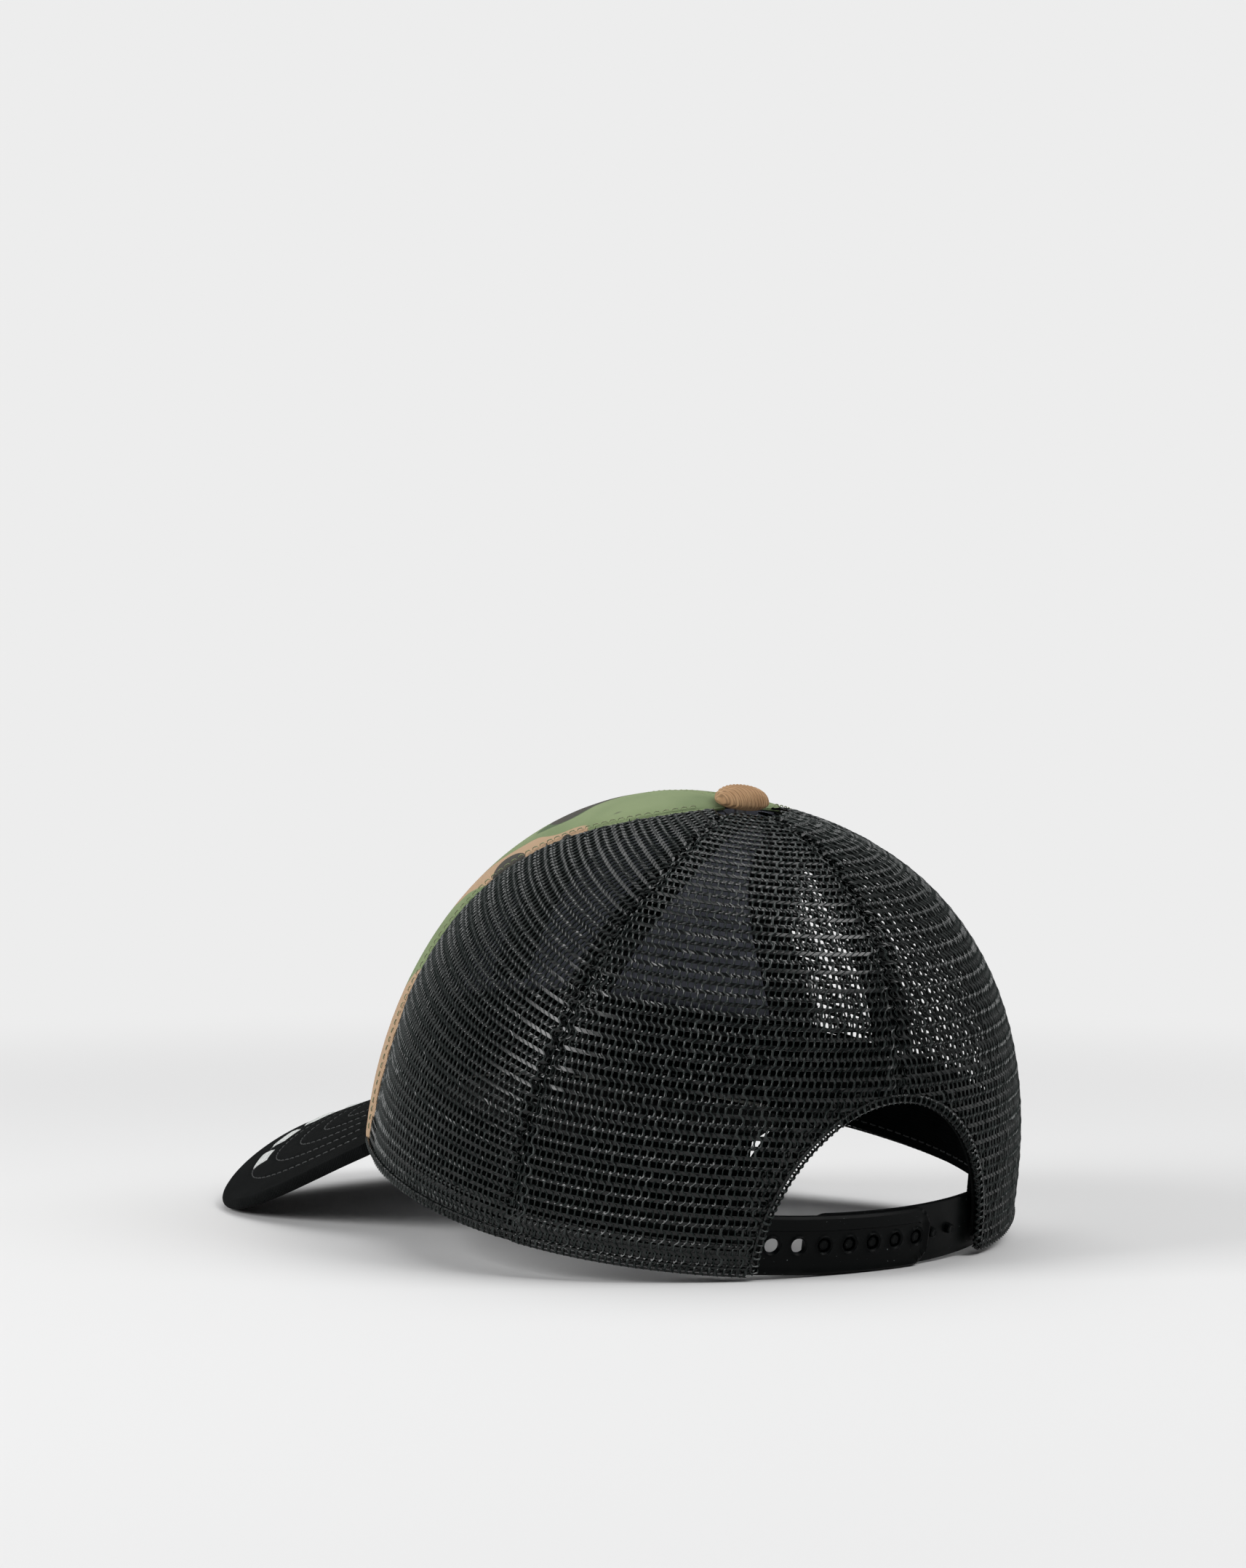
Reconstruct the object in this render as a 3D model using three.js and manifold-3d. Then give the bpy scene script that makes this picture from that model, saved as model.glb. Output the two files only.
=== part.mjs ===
// Trucker cap: structured front, mesh sides and rear, curved visor, snap strap.
// Millimetres, +Z up, visor towards -Y, the wearer's left is +X.
// Everything is laid out in the cap's own frame (base edge in the plane z = 0)
// and then tilted back onto the visor's corners and the strap, as it rests.
import * as THREE from 'three';
import { mergeVertices } from 'three/addons/utils/BufferGeometryUtils.js';
import Module from 'manifold-3d';

const wasm = await Module();
wasm.setup();

// ---------- driving dimensions ----------
const HALF_LENGTH = 95;        // base oval, front to back
const HALF_WIDTH = 88.4;       // base oval, side to side
const REAR_FULLNESS = 0.148;   // how much wider the oval is behind its middle
const OVAL_SHIFT = 3.1;        // the oval's centre, towards the rear
const CROWN_HEIGHT = 106;      // base plane to apex
const APEX_SHIFT = 12.7;       // the apex sits behind the base's centre
const FRONT_ROUNDNESS = 2.39;  // superellipse powers of the wall's profile
const SIDE_ROUNDNESS = 1.79;
const REAR_ROUNDNESS = 2.28;
const REST_TILT = 10.8;        // degrees, the front is propped up by the visor

const FRONT_SEAM = 65;         // degrees round from the front centre, at the base
const FRONT_SEAM_WAIST = 9;    // the seam comes forward half way up
const FRONT_SEAM_WAIST_FROM = 0.1;
const FRONT_SEAM_WAIST_TO = 0.7;
const FRONT_SEAM_SPREAD = 36;  // and runs back again towards the button
const SIDE_SEAM = 116.9;
const SIDE_SEAM_SPREAD = 8;
const SEAM_GAP = 0.3;          // between neighbouring panels
const LAYER_GAP = 0.3;         // between stacked layers
const TAPE_GAP = 0.9;          // the tapes lie a little off the layer under them
const TOP_HOLE = 5.5;          // radius of the hole round the button's prong
const TAPE_HOLE = 12;          // radius at which the seam tapes stop

const MESH_THICK = 1.0;
const TWILL_THICK = 1.2;
const LINING_THICK = 0.8;
const TAPE_THICK = 0.5;
const TAPE_WIDTH = 13;
const SWEATBAND_THICK = 1.4;
const SWEATBAND_HEIGHT = 27;
const SWEATBAND_RISE = 8;      // extra height at the rear
const SWEATBAND_END = 155.5;   // degrees, where the band stops at the rear
const SWEATBAND_INSET = 3.8;
const SWEATBAND_REAR_INSET = 5.7;  // the band passes inside the strap's tabs
const SWEATBAND_SHIFT_FROM = 118;  // degrees between which it moves inwards
const SWEATBAND_SHIFT_TO = 136;
const SWEATBAND_RISE_FROM = 112;   // and those between which it grows taller
const SWEATBAND_RISE_TO = 148;
const SWEATBAND_LIFT = 0.6;    // its lower edge above the crown's

const ARCH_HALF_WIDTH = 38;
const ARCH_HEIGHT = 44.6;
const WALL_THICK = 2.6;        // panel and lining together
const EDGE_GAP = 0.5;          // front panels' lower edge above the visor
const BINDING_CLEAR = 1.2;     // binding starts this far outside the arch's edge
const BINDING_WIDTH = 10;
const BINDING_END = 0.03;      // share of the half turn left free at each foot

const VISOR_ROOT = 65.5;       // degrees either side of the front centre
const VISOR_REACH = 107;       // root ends to front edge, along Y
const VISOR_SQUARENESS = 0.81;
const VISOR_BULGE = 10;
const VISOR_ARCH = 0.005;      // drop = VISOR_ARCH * x^2
const VISOR_SLOPE = 0.49;      // forward fall
const VISOR_TUCK = 3.2;        // how far the root runs in under the crown
const BOARD_THICK = 1.6;
const COVER_THICK = 0.6;

const STRAP_HEIGHT = 15.6;
const STRAP_MIDDLE = 6.7;      // height of the row of holes
const STRAP_THICK = 1.3;
const STRAP_RING = 0.06;       // the straps follow the oval at this height
const SNAP_START = 160.5;      // degrees, first hole
const SNAP_PITCH = 4.36;       // degrees between holes, 7.6 mm
const HOLE_COUNT = 7;
const HOLE_RADIUS = 1.95;
const PEG_RADIUS = 1.3;
const PEG_COUNT = 7;
const FIRST_PEG = 2;           // the pegs start at this hole
const OUTER_STRAP_INSET = 2.2;
const INNER_STRAP_INSET = 3.9;
const STRAP_ROOT = 158.5;      // degrees, where each strap leaves its sewn tab
const STRAP_TIP = 3.0;         // degrees from the last hole or peg to the strap's end
const TAB_END = 137;
const STRAP_END_RADIUS = 6;

const BUTTON_RADIUS = 7.4;
const BUTTON_HEIGHT = 4.1;
const BUTTON_BASE = 0.5;       // the button's rim above the apex
const SHELL = 1.0;             // thickness of the button's cover
const PRONG_RADIUS = 1.6;
const PRONG_END = -5.4;        // heights below the apex
const BACK_TOP = -5.0;
const BACK_RIM_TOP = -6.0;
const BACK_BOTTOM = -6.6;
const BACK_RADIUS = 7;
const BACK_COLLAR = 4;

// ---------- small helpers ----------
const rad = THREE.MathUtils.degToRad;
const lerp = THREE.MathUtils.lerp;
const smooth = THREE.MathUtils.smoothstep;

// A closed solid between two parametric sheets. point(s, t, side) gives the
// outer sheet for side 0 and the inner one for side 1, with s and t from 0 to 1.
function slab(point, columns, rows) {
  const positions = [];
  const index = [];
  const stride = rows + 1;
  const layer = (columns + 1) * stride;
  for (const side of [0, 1]) {
    for (let i = 0; i <= columns; i++) {
      for (let j = 0; j <= rows; j++) {
        positions.push(...point(i / columns, j / rows, side).toArray());
      }
    }
  }
  const quad = (a, b, c, d) => index.push(a, b, c, a, c, d);
  for (let i = 0; i < columns; i++) {
    for (let j = 0; j < rows; j++) {
      const a = i * stride + j;
      const b = a + stride;
      quad(a, b, b + 1, a + 1);
      quad(layer + a, layer + a + 1, layer + b + 1, layer + b);
    }
  }
  for (let i = 0; i < columns; i++) {
    const low = i * stride;
    const high = low + rows;
    quad(low, layer + low, layer + low + stride, low + stride);
    quad(high, high + stride, layer + high + stride, layer + high);
  }
  for (let j = 0; j < rows; j++) {
    const last = columns * stride + j;
    quad(j, j + 1, layer + j + 1, layer + j);
    quad(last, layer + last, layer + last + 1, last + 1);
  }
  return outward(positions, index);
}

// Builds the geometry and turns it the right way out.
function outward(positions, index) {
  const geometry = new THREE.BufferGeometry();
  geometry.setAttribute('position', new THREE.Float32BufferAttribute(positions, 3));
  geometry.setIndex(index);
  if (volume(geometry) < 0) {
    for (let i = 0; i < index.length; i += 3) {
      [index[i], index[i + 1]] = [index[i + 1], index[i]];
    }
    geometry.setIndex(index);
  }
  geometry.computeVertexNormals();
  return geometry;
}

function volume(geometry) {
  const p = geometry.getAttribute('position');
  const index = geometry.getIndex();
  const corner = [new THREE.Vector3(), new THREE.Vector3(), new THREE.Vector3()];
  let total = 0;
  for (let i = 0; i < index.count; i += 3) {
    corner.forEach((v, k) => v.fromBufferAttribute(p, index.getX(i + k)));
    total += corner[0].dot(corner[1].clone().cross(corner[2])) / 6;
  }
  return total;
}

function toSolid(geometry) {
  const bare = geometry.clone();
  bare.deleteAttribute('normal');
  bare.deleteAttribute('uv');
  const merged = mergeVertices(bare, 1e-4);
  return new wasm.Manifold(new wasm.Mesh({
    numProp: 3,
    vertProperties: new Float32Array(merged.getAttribute('position').array),
    triVerts: new Uint32Array(merged.getIndex().array),
  }));
}

function toGeometry(solid) {
  const mesh = solid.getMesh();
  const geometry = new THREE.BufferGeometry();
  geometry.setAttribute('position', new THREE.BufferAttribute(mesh.vertProperties, 3));
  geometry.setIndex(new THREE.BufferAttribute(mesh.triVerts, 1));
  geometry.computeVertexNormals();
  return geometry;
}

// ---------- the crown's surface ----------
// theta: degrees round from the front centre towards +X; h: fraction of the height.
function ovalX(theta) {
  const t = rad(theta);
  return HALF_WIDTH * Math.sin(t) * (1 - REAR_FULLNESS * Math.cos(t));
}

function ovalY(theta) {
  return -HALF_LENGTH * Math.cos(rad(theta)) + OVAL_SHIFT;
}

function roundness(theta) {
  const front = (1 + Math.cos(rad(theta))) / 2;
  const rear = 1 - front;
  return FRONT_ROUNDNESS * front ** 2 + REAR_ROUNDNESS * rear ** 2
    + SIDE_ROUNDNESS * 2 * front * rear;
}

function crownSurface(theta, h) {
  const power = roundness(theta);
  const ring = (1 - Math.max(h, 0) ** power) ** (1 / power);
  return new THREE.Vector3(
    ovalX(theta) * ring,
    (ovalY(theta) - OVAL_SHIFT) * ring + OVAL_SHIFT + APEX_SHIFT * Math.max(h, 0) ** 1.5,
    CROWN_HEIGHT * h,
  );
}

// Steps, in degrees and in shares of the crown's height, for slopes of the surface.
const NORMAL_DEGREES = 0.2;
const NORMAL_RISE = 0.004;

function crownNormal(theta, h) {
  const dH = Math.min(NORMAL_RISE, (1 - h) / 3);
  const low = Math.max(h - dH, 0);
  const around = crownSurface(theta + NORMAL_DEGREES, h)
    .sub(crownSurface(theta - NORMAL_DEGREES, h));
  const up = crownSurface(theta, low + 2 * dH).sub(crownSurface(theta, low));
  return around.cross(up).normalize();
}

function crownPoint(theta, h, inset) {
  return crownSurface(theta, h).addScaledVector(crownNormal(theta, h), -inset);
}

// Degrees that an arc of the given length covers at this height.
function arcDegrees(theta, h, length) {
  const step = crownSurface(theta + 1, h).distanceTo(crownSurface(theta, h));
  return length / step;
}

// The height at which the crown has closed in to this distance from its axis.
function heightOfRing(theta, radius) {
  const base = Math.hypot(ovalX(theta), ovalY(theta) - OVAL_SHIFT);
  const power = roundness(theta);
  return (1 - (radius / base) ** power) ** (1 / power);
}

const frontSeam = (h) => FRONT_SEAM
  - FRONT_SEAM_WAIST * smooth(h, FRONT_SEAM_WAIST_FROM, FRONT_SEAM_WAIST_TO)
  + FRONT_SEAM_SPREAD * h ** 12;
const sideSeam = (h) => SIDE_SEAM + SIDE_SEAM_SPREAD * h ** 4;

const REAR_FROM = 120;         // the rear wall, in degrees
const REAR_TO = 240;
const HALVINGS = 40;

// Where the rear wall has the given x, by bisection.
function rearTheta(x, h) {
  let low = REAR_FROM;
  let high = REAR_TO;
  for (let i = 0; i < HALVINGS; i++) {
    const middle = (low + high) / 2;
    if (crownSurface(middle, h).x > x) low = middle;
    else high = middle;
  }
  return (low + high) / 2;
}

// ---------- the visor's surface ----------
const visorEndX = ovalX(VISOR_ROOT);
const visorEndY = ovalY(VISOR_ROOT);

function visorHeight(x, y) {
  return VISOR_ARCH * (visorEndX ** 2 - x ** 2) + VISOR_SLOPE * (y - visorEndY);
}

// s runs across from -1 to 1, t from the root to the front edge.
function visorTop(s, t) {
  const theta = s * VISOR_ROOT;
  const root = crownPoint(theta, 0, VISOR_TUCK * (1 - s ** 8));
  const across = Math.sin(s * Math.PI / 2);
  const along = Math.cos(s * Math.PI / 2);
  const edgeX = Math.sign(across) * (visorEndX * Math.abs(across) ** VISOR_SQUARENESS
    + 4 * VISOR_BULGE * along * across ** 2);
  const edgeY = visorEndY - VISOR_REACH * Math.max(along, 0) ** VISOR_SQUARENESS;
  const x = lerp(root.x, edgeX, t);
  const y = lerp(root.y, edgeY, t);
  return new THREE.Vector3(x, y, visorHeight(x, y));
}

function visorPoint(s, t, depth) {
  const point = visorTop(s, t);
  const slopeX = -2 * VISOR_ARCH * point.x;
  const normal = new THREE.Vector3(-slopeX, -VISOR_SLOPE, 1).normalize();
  return point.addScaledVector(normal, -depth);
}

// The crown's lower edge: it stands on the visor in front and is flat elsewhere.
function baseEdge(theta) {
  const round = Math.abs(THREE.MathUtils.euclideanModulo(theta + 180, 360) - 180);
  if (round > VISOR_ROOT) return 0;
  const root = crownPoint(round, 0, WALL_THICK);
  return Math.max(visorHeight(root.x, root.y) + EDGE_GAP, 0) / CROWN_HEIGHT;
}

// ---------- crown panels ----------
const ROW_CROWDING = 1.7;      // rows crowd together towards the button, where it curves most
const heightAt = (low, high, t) => lerp(low, high, 1 - (1 - t) ** ROW_CROWDING);
const PANEL_GRID = [9, 13];    // columns and rows of a panel, a lining and a tape
const LINING_GRID = [7, 10];
const TAPE_GRID = [3, 14];

// A panel between two seams, from the base edge to the button.
function panel(leftSeam, rightSeam, inset, thick, columns, rows) {
  return slab((s, t, side) => {
    const low = baseEdge(lerp(leftSeam(0), rightSeam(0), s));
    const high = heightOfRing(lerp(leftSeam(1), rightSeam(1), s), TOP_HOLE);
    const h = heightAt(low, high, t);
    const left = leftSeam(h) + arcDegrees(leftSeam(h), h, SEAM_GAP / 2);
    const right = rightSeam(h) - arcDegrees(rightSeam(h), h, SEAM_GAP / 2);
    return crownPoint(lerp(left, right, s), h, inset + side * thick);
  }, columns, rows);
}

// The rear panel's lower edge runs along the base and then up the arch.
const ARCH_START = 0.42;       // share of the panel's columns before the arch
const REAR_COLUMNS = 14;
const REAR_ROWS = 12;
function rearLowEdge(s) {
  if (s <= ARCH_START) {
    const foot = rearTheta(ARCH_HALF_WIDTH, 0);
    return { theta: lerp(sideSeam(0), foot, s / ARCH_START), h: 0 };
  }
  const turn = (s - ARCH_START) / (1 - ARCH_START) * Math.PI / 2;
  const h = ARCH_HEIGHT * Math.sin(turn) / CROWN_HEIGHT;
  return { theta: rearTheta(ARCH_HALF_WIDTH * Math.cos(turn), h), h };
}

function rearPanel(sign) {
  return slab((s, t, side) => {
    const low = rearLowEdge(s);
    const high = heightOfRing(lerp(sideSeam(1), 180, s), TOP_HOLE);
    const h = heightAt(low.h, high, t);
    const share = (low.theta - sideSeam(low.h)) / (180 - sideSeam(low.h));
    const left = sideSeam(h) + arcDegrees(sideSeam(h), h, SEAM_GAP / 2);
    const right = 180 - arcDegrees(180, h, SEAM_GAP / 2);
    const theta = lerp(left, right, lerp(share, s, t));
    return crownPoint(sign * theta, h, side * MESH_THICK);
  }, REAR_COLUMNS, REAR_ROWS);
}

// ---------- seam tapes, sweatband and arch binding ----------
const TAPE_NARROWING = 0.42;   // width against the distance from the crown's axis, near the top

function tape(seam, inset, bottom) {
  return slab((s, t, side) => {
    const h = heightAt(bottom, heightOfRing(seam(1), TAPE_HOLE), t);
    const theta = seam(h);
    const width = Math.min(TAPE_WIDTH, TAPE_NARROWING * crownSurface(theta, h).setZ(0)
      .sub(new THREE.Vector3(0, OVAL_SHIFT + APEX_SHIFT * h ** 1.5, 0)).length());
    const half = arcDegrees(theta, h, width / 2);
    return crownPoint(lerp(theta - half, theta + half, s), h, inset + side * TAPE_THICK);
  }, ...TAPE_GRID);
}

const SWEATBAND_GRID = [40, 3];
function sweatband() {
  return slab((s, t, side) => {
    const theta = lerp(-SWEATBAND_END, SWEATBAND_END, s);
    const low = baseEdge(theta) + SWEATBAND_LIFT / CROWN_HEIGHT;
    const height = SWEATBAND_HEIGHT
      + SWEATBAND_RISE * smooth(Math.abs(theta), SWEATBAND_RISE_FROM, SWEATBAND_RISE_TO);
    const h = low + t * height / CROWN_HEIGHT;
    const rear = smooth(Math.abs(theta), SWEATBAND_SHIFT_FROM, SWEATBAND_SHIFT_TO);
    const inset = lerp(SWEATBAND_INSET, SWEATBAND_REAR_INSET, rear) + side * SWEATBAND_THICK;
    return crownPoint(theta, h, inset);
  }, ...SWEATBAND_GRID);
}

const BINDING_GRID = [30, 3];
function archBinding() {
  return slab((s, t, side) => {
    const grow = BINDING_CLEAR + t * BINDING_WIDTH;
    const turn = lerp(BINDING_END, 1 - BINDING_END, s) * Math.PI;
    const x = (ARCH_HALF_WIDTH + grow) * Math.cos(turn);
    const h = (ARCH_HEIGHT + grow) * Math.sin(turn) / CROWN_HEIGHT;
    const inset = MESH_THICK + LAYER_GAP + side * TAPE_THICK;
    return crownPoint(rearTheta(x, h), h, inset);
  }, ...BINDING_GRID);
}

// ---------- visor ----------
const VISOR_GRID = [28, 6];
const BOARD_REACH = 0.985;     // the board stops short of the cover's edge

function visorLayer(depth, thick, reach) {
  return slab((s, t, side) => {
    const across = lerp(-reach, reach, s);
    return visorPoint(across, t * reach, depth + side * thick);
  }, ...VISOR_GRID);
}

// ---------- snap strap ----------
// A point on a strap: theta round the oval, z up it, inset from the crown's face.
function strapPoint(theta, z, inset) {
  const wall = crownSurface(theta, STRAP_RING);
  const normal = crownNormal(theta, STRAP_RING).setZ(0).normalize();
  return wall.addScaledVector(normal, -inset).setZ(z);
}

// from: the square end; to: the end, rounded when round is true.
function strapSolid(from, to, inset, round, columns) {
  const mmPerDegree = 1 / arcDegrees(180, STRAP_RING, 1);
  return slab((s, t, side) => {
    const bend = 1 - (1 - s) ** 1.5;
    const theta = lerp(from, to, round ? bend : s);
    const rest = Math.abs(to - theta) * mmPerDegree;
    const cut = round ? Math.max(STRAP_END_RADIUS - rest, 0) : 0;
    const lost = STRAP_END_RADIUS - Math.sqrt(STRAP_END_RADIUS ** 2 - cut ** 2);
    const half = STRAP_HEIGHT / 2 - lost;
    const z = STRAP_MIDDLE + lerp(-half, half, t);
    return strapPoint(theta, z, inset + side * STRAP_THICK);
  }, columns, 2);
}

const SNAP_SIDES = 12;
const STRAP_COLUMNS = 22;
const TAB_COLUMNS = 8;
const PEG_SHORT = 0.2;         // a peg stops below the outer strap's face
const PEG_SUNK = 0.3;          // and starts inside the strap that carries it

// A short cylinder through the strap's wall at snap position k.
function snapCylinder(k, radius, insetFrom, insetTo) {
  const theta = SNAP_START + k * SNAP_PITCH;
  const from = strapPoint(theta, STRAP_MIDDLE, insetFrom);
  const to = strapPoint(theta, STRAP_MIDDLE, insetTo);
  const axis = to.clone().sub(from);
  const cylinder = new THREE.CylinderGeometry(radius, radius, axis.length(), SNAP_SIDES);
  const turn = new THREE.Quaternion()
    .setFromUnitVectors(new THREE.Vector3(0, 1, 0), axis.clone().normalize());
  cylinder.applyQuaternion(turn);
  cylinder.translate(...from.add(to).multiplyScalar(0.5).toArray());
  return toSolid(cylinder);
}

const snapTheta = (k) => SNAP_START + k * SNAP_PITCH;
const rootGap = arcDegrees(STRAP_ROOT, STRAP_RING, LAYER_GAP / 2);

function holeStrap() {
  const end = snapTheta(HOLE_COUNT - 1) + STRAP_TIP;
  const from = STRAP_ROOT + rootGap;
  let strap = toSolid(strapSolid(from, end, OUTER_STRAP_INSET, true, STRAP_COLUMNS));
  for (let k = 0; k < HOLE_COUNT; k++) {
    const past = STRAP_THICK + 1;
    strap = strap.subtract(snapCylinder(k, HOLE_RADIUS,
      OUTER_STRAP_INSET - 1, OUTER_STRAP_INSET + past));
  }
  return toGeometry(strap);
}

function pegStrap() {
  const end = snapTheta(FIRST_PEG) - STRAP_TIP;
  const from = 360 - STRAP_ROOT - rootGap;
  let strap = toSolid(strapSolid(from, end, INNER_STRAP_INSET, true, STRAP_COLUMNS));
  for (let k = 0; k < PEG_COUNT; k++) {
    strap = strap.add(snapCylinder(FIRST_PEG + k, PEG_RADIUS,
      OUTER_STRAP_INSET + PEG_SHORT, INNER_STRAP_INSET + PEG_SUNK));
  }
  return toGeometry(strap);
}

// ---------- top button ----------
// Profiles are (radius, height) pairs turned about the apex.
function turned(profile) {
  const points = profile.map(([r, z]) => new THREE.Vector2(r, z));
  const geometry = new THREE.LatheGeometry(points, 24);
  geometry.rotateX(Math.PI / 2);
  const bare = mergeVertices(stripped(geometry), 1e-4);
  return outward([...bare.getAttribute('position').array], [...cleanIndex(bare)]);
}

function stripped(geometry) {
  geometry.deleteAttribute('normal');
  geometry.deleteAttribute('uv');
  return geometry;
}

// Drops the triangles that have no area where a profile meets the axis.
function cleanIndex(geometry) {
  const index = geometry.getIndex().array;
  const kept = [];
  for (let i = 0; i < index.length; i += 3) {
    const [a, b, c] = [index[i], index[i + 1], index[i + 2]];
    if (a !== b && b !== c && c !== a) kept.push(a, b, c);
  }
  return kept;
}

function domeProfile(radius, height, base) {
  const points = [];
  for (let i = 0; i <= 8; i++) {
    const turn = i / 8 * Math.PI / 2;
    points.push([radius * Math.cos(turn) ** 0.8, base + height * Math.sin(turn)]);
  }
  points[8][0] = 0;
  return points;
}

function buttonCover() {
  const outer = domeProfile(BUTTON_RADIUS, BUTTON_HEIGHT, BUTTON_BASE);
  const inner = domeProfile(BUTTON_RADIUS - SHELL, BUTTON_HEIGHT - SHELL, BUTTON_BASE);
  return turned([...outer, ...inner.reverse(), outer[0]]);
}

function buttonCore() {
  const radius = BUTTON_RADIUS - SHELL - LAYER_GAP;
  const top = BUTTON_HEIGHT - SHELL - LAYER_GAP;
  const dome = domeProfile(radius, top, BUTTON_BASE);
  return turned([[0, PRONG_END], [PRONG_RADIUS, PRONG_END], [PRONG_RADIUS, BUTTON_BASE], ...dome]);
}

function buttonBack() {
  const hole = PRONG_RADIUS + LAYER_GAP;
  return turned([
    [hole, BACK_BOTTOM], [BACK_RADIUS, BACK_BOTTOM], [BACK_RADIUS, BACK_RIM_TOP],
    [BACK_COLLAR, BACK_TOP], [hole, BACK_TOP], [hole, BACK_BOTTOM],
  ]);
}

// ---------- materials ----------
const finish = (color, roughness, metalness = 0) =>
  new THREE.MeshStandardMaterial({ color, roughness, metalness });
const CAMO = finish(0x7d8f5e, 0.9);
const MESH = finish(0x141918, 0.6);
const LINING = finish(0x5a5f6a, 0.9);
const TAPE = finish(0x16191a, 0.8);
const BAND = finish(0x101213, 0.85);
const VISOR = finish(0x1c1f1f, 0.9);
const BOARD = finish(0xd8d8d2, 0.6);
const PLASTIC = finish(0x121817, 0.35);
const BUTTON = finish(0x9a7c5a, 0.9);
const STEEL = finish(0xa8a8a8, 0.4, 1);

// ---------- assembly ----------
const cap = new THREE.Group();

function add(name, geometry, material, parent = cap) {
  const mesh = new THREE.Mesh(geometry, material);
  mesh.name = name;
  parent.add(mesh);
  return mesh;
}

const centre = () => 0;
const rearCentre = () => 180;
const mirrored = (seam) => (h) => -seam(h);
const liningInset = TWILL_THICK + LAYER_GAP;
const frontTapeInset = liningInset + LINING_THICK + TAPE_GAP;
const meshTapeInset = MESH_THICK + TAPE_GAP;
const bandTop = (SWEATBAND_HEIGHT + 1) / CROWN_HEIGHT;
const CENTRE_TAPE_LIFT = 0.04; // the sweatband is higher over the visor, in crown heights
const rearTapeFoot = (ARCH_HEIGHT + BINDING_CLEAR + BINDING_WIDTH + 1) / CROWN_HEIGHT;

add('front_panel_left', panel(centre, frontSeam, 0, TWILL_THICK, ...PANEL_GRID), CAMO);
add('front_panel_right', panel(mirrored(frontSeam), centre, 0, TWILL_THICK, ...PANEL_GRID), CAMO);
add('front_lining_left', panel(centre, frontSeam, liningInset, LINING_THICK, ...LINING_GRID), LINING);
add('front_lining_right',
  panel(mirrored(frontSeam), centre, liningInset, LINING_THICK, ...LINING_GRID), LINING);
add('side_mesh_left', panel(frontSeam, sideSeam, 0, MESH_THICK, ...PANEL_GRID), MESH);
add('side_mesh_right', panel(mirrored(sideSeam), mirrored(frontSeam), 0, MESH_THICK, ...PANEL_GRID), MESH);
add('rear_mesh_left', rearPanel(1), MESH);
add('rear_mesh_right', rearPanel(-1), MESH);

add('front_centre_tape', tape(centre, frontTapeInset, bandTop + CENTRE_TAPE_LIFT), TAPE);
add('front_seam_tape_left', tape(frontSeam, frontTapeInset, bandTop), TAPE);
add('front_seam_tape_right', tape(mirrored(frontSeam), frontTapeInset, bandTop), TAPE);
add('side_seam_tape_left', tape(sideSeam, meshTapeInset, bandTop), TAPE);
add('side_seam_tape_right', tape(mirrored(sideSeam), meshTapeInset, bandTop), TAPE);
add('rear_seam_tape', tape(rearCentre, meshTapeInset, rearTapeFoot), TAPE);
add('sweatband', sweatband(), BAND);
add('arch_binding', archBinding(), TAPE);

add('visor_top_cover', visorLayer(0, COVER_THICK, 1), VISOR);
add('visor_board', visorLayer(COVER_THICK + LAYER_GAP, BOARD_THICK, BOARD_REACH), BOARD);
add('visor_under_cover',
  visorLayer(COVER_THICK + BOARD_THICK + 2 * LAYER_GAP, COVER_THICK, 1), VISOR);

const tabEnd = (sign) => (sign > 0 ? TAB_END : 360 - TAB_END);
const tabRoot = (sign) => (sign > 0 ? STRAP_ROOT - rootGap : 360 - STRAP_ROOT + rootGap);
add('hole_strap_tab',
  strapSolid(tabEnd(1), tabRoot(1), OUTER_STRAP_INSET, false, TAB_COLUMNS), PLASTIC);
add('hole_strap', holeStrap(), PLASTIC);
add('peg_strap_tab',
  strapSolid(tabEnd(-1), tabRoot(-1), INNER_STRAP_INSET, false, TAB_COLUMNS), PLASTIC);
add('peg_strap', pegStrap(), PLASTIC);

const button = new THREE.Group();
button.position.set(0, OVAL_SHIFT + APEX_SHIFT, CROWN_HEIGHT);
cap.add(button);
add('button_cover', buttonCover(), BUTTON, button);
add('button_core', buttonCore(), STEEL, button);
add('button_back', buttonBack(), STEEL, button);

// ---------- resting pose ----------
// The tilted cap's box stands on z = 0 with its middle over the origin.
cap.rotation.x = -rad(REST_TILT);
cap.updateMatrixWorld(true);
const box = new THREE.Box3().setFromObject(cap, true);
const middle = box.getCenter(new THREE.Vector3());
cap.position.set(-middle.x, -middle.y, -box.min.z);

const part = new THREE.Group();
part.add(cap);

export default part;
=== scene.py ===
"""Trucker mesh cap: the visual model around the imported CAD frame.

Shapes are laid out in the cap's own frame in millimetres, as the CAD part is, and then
tilted into the row frame in metres. theta is degrees round from the front centre towards
+X, h is the fraction of the crown's height.
"""

import math

import bpy
import numpy as np
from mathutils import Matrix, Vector
from mathutils.geometry import delaunay_2d_cdt

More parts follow.
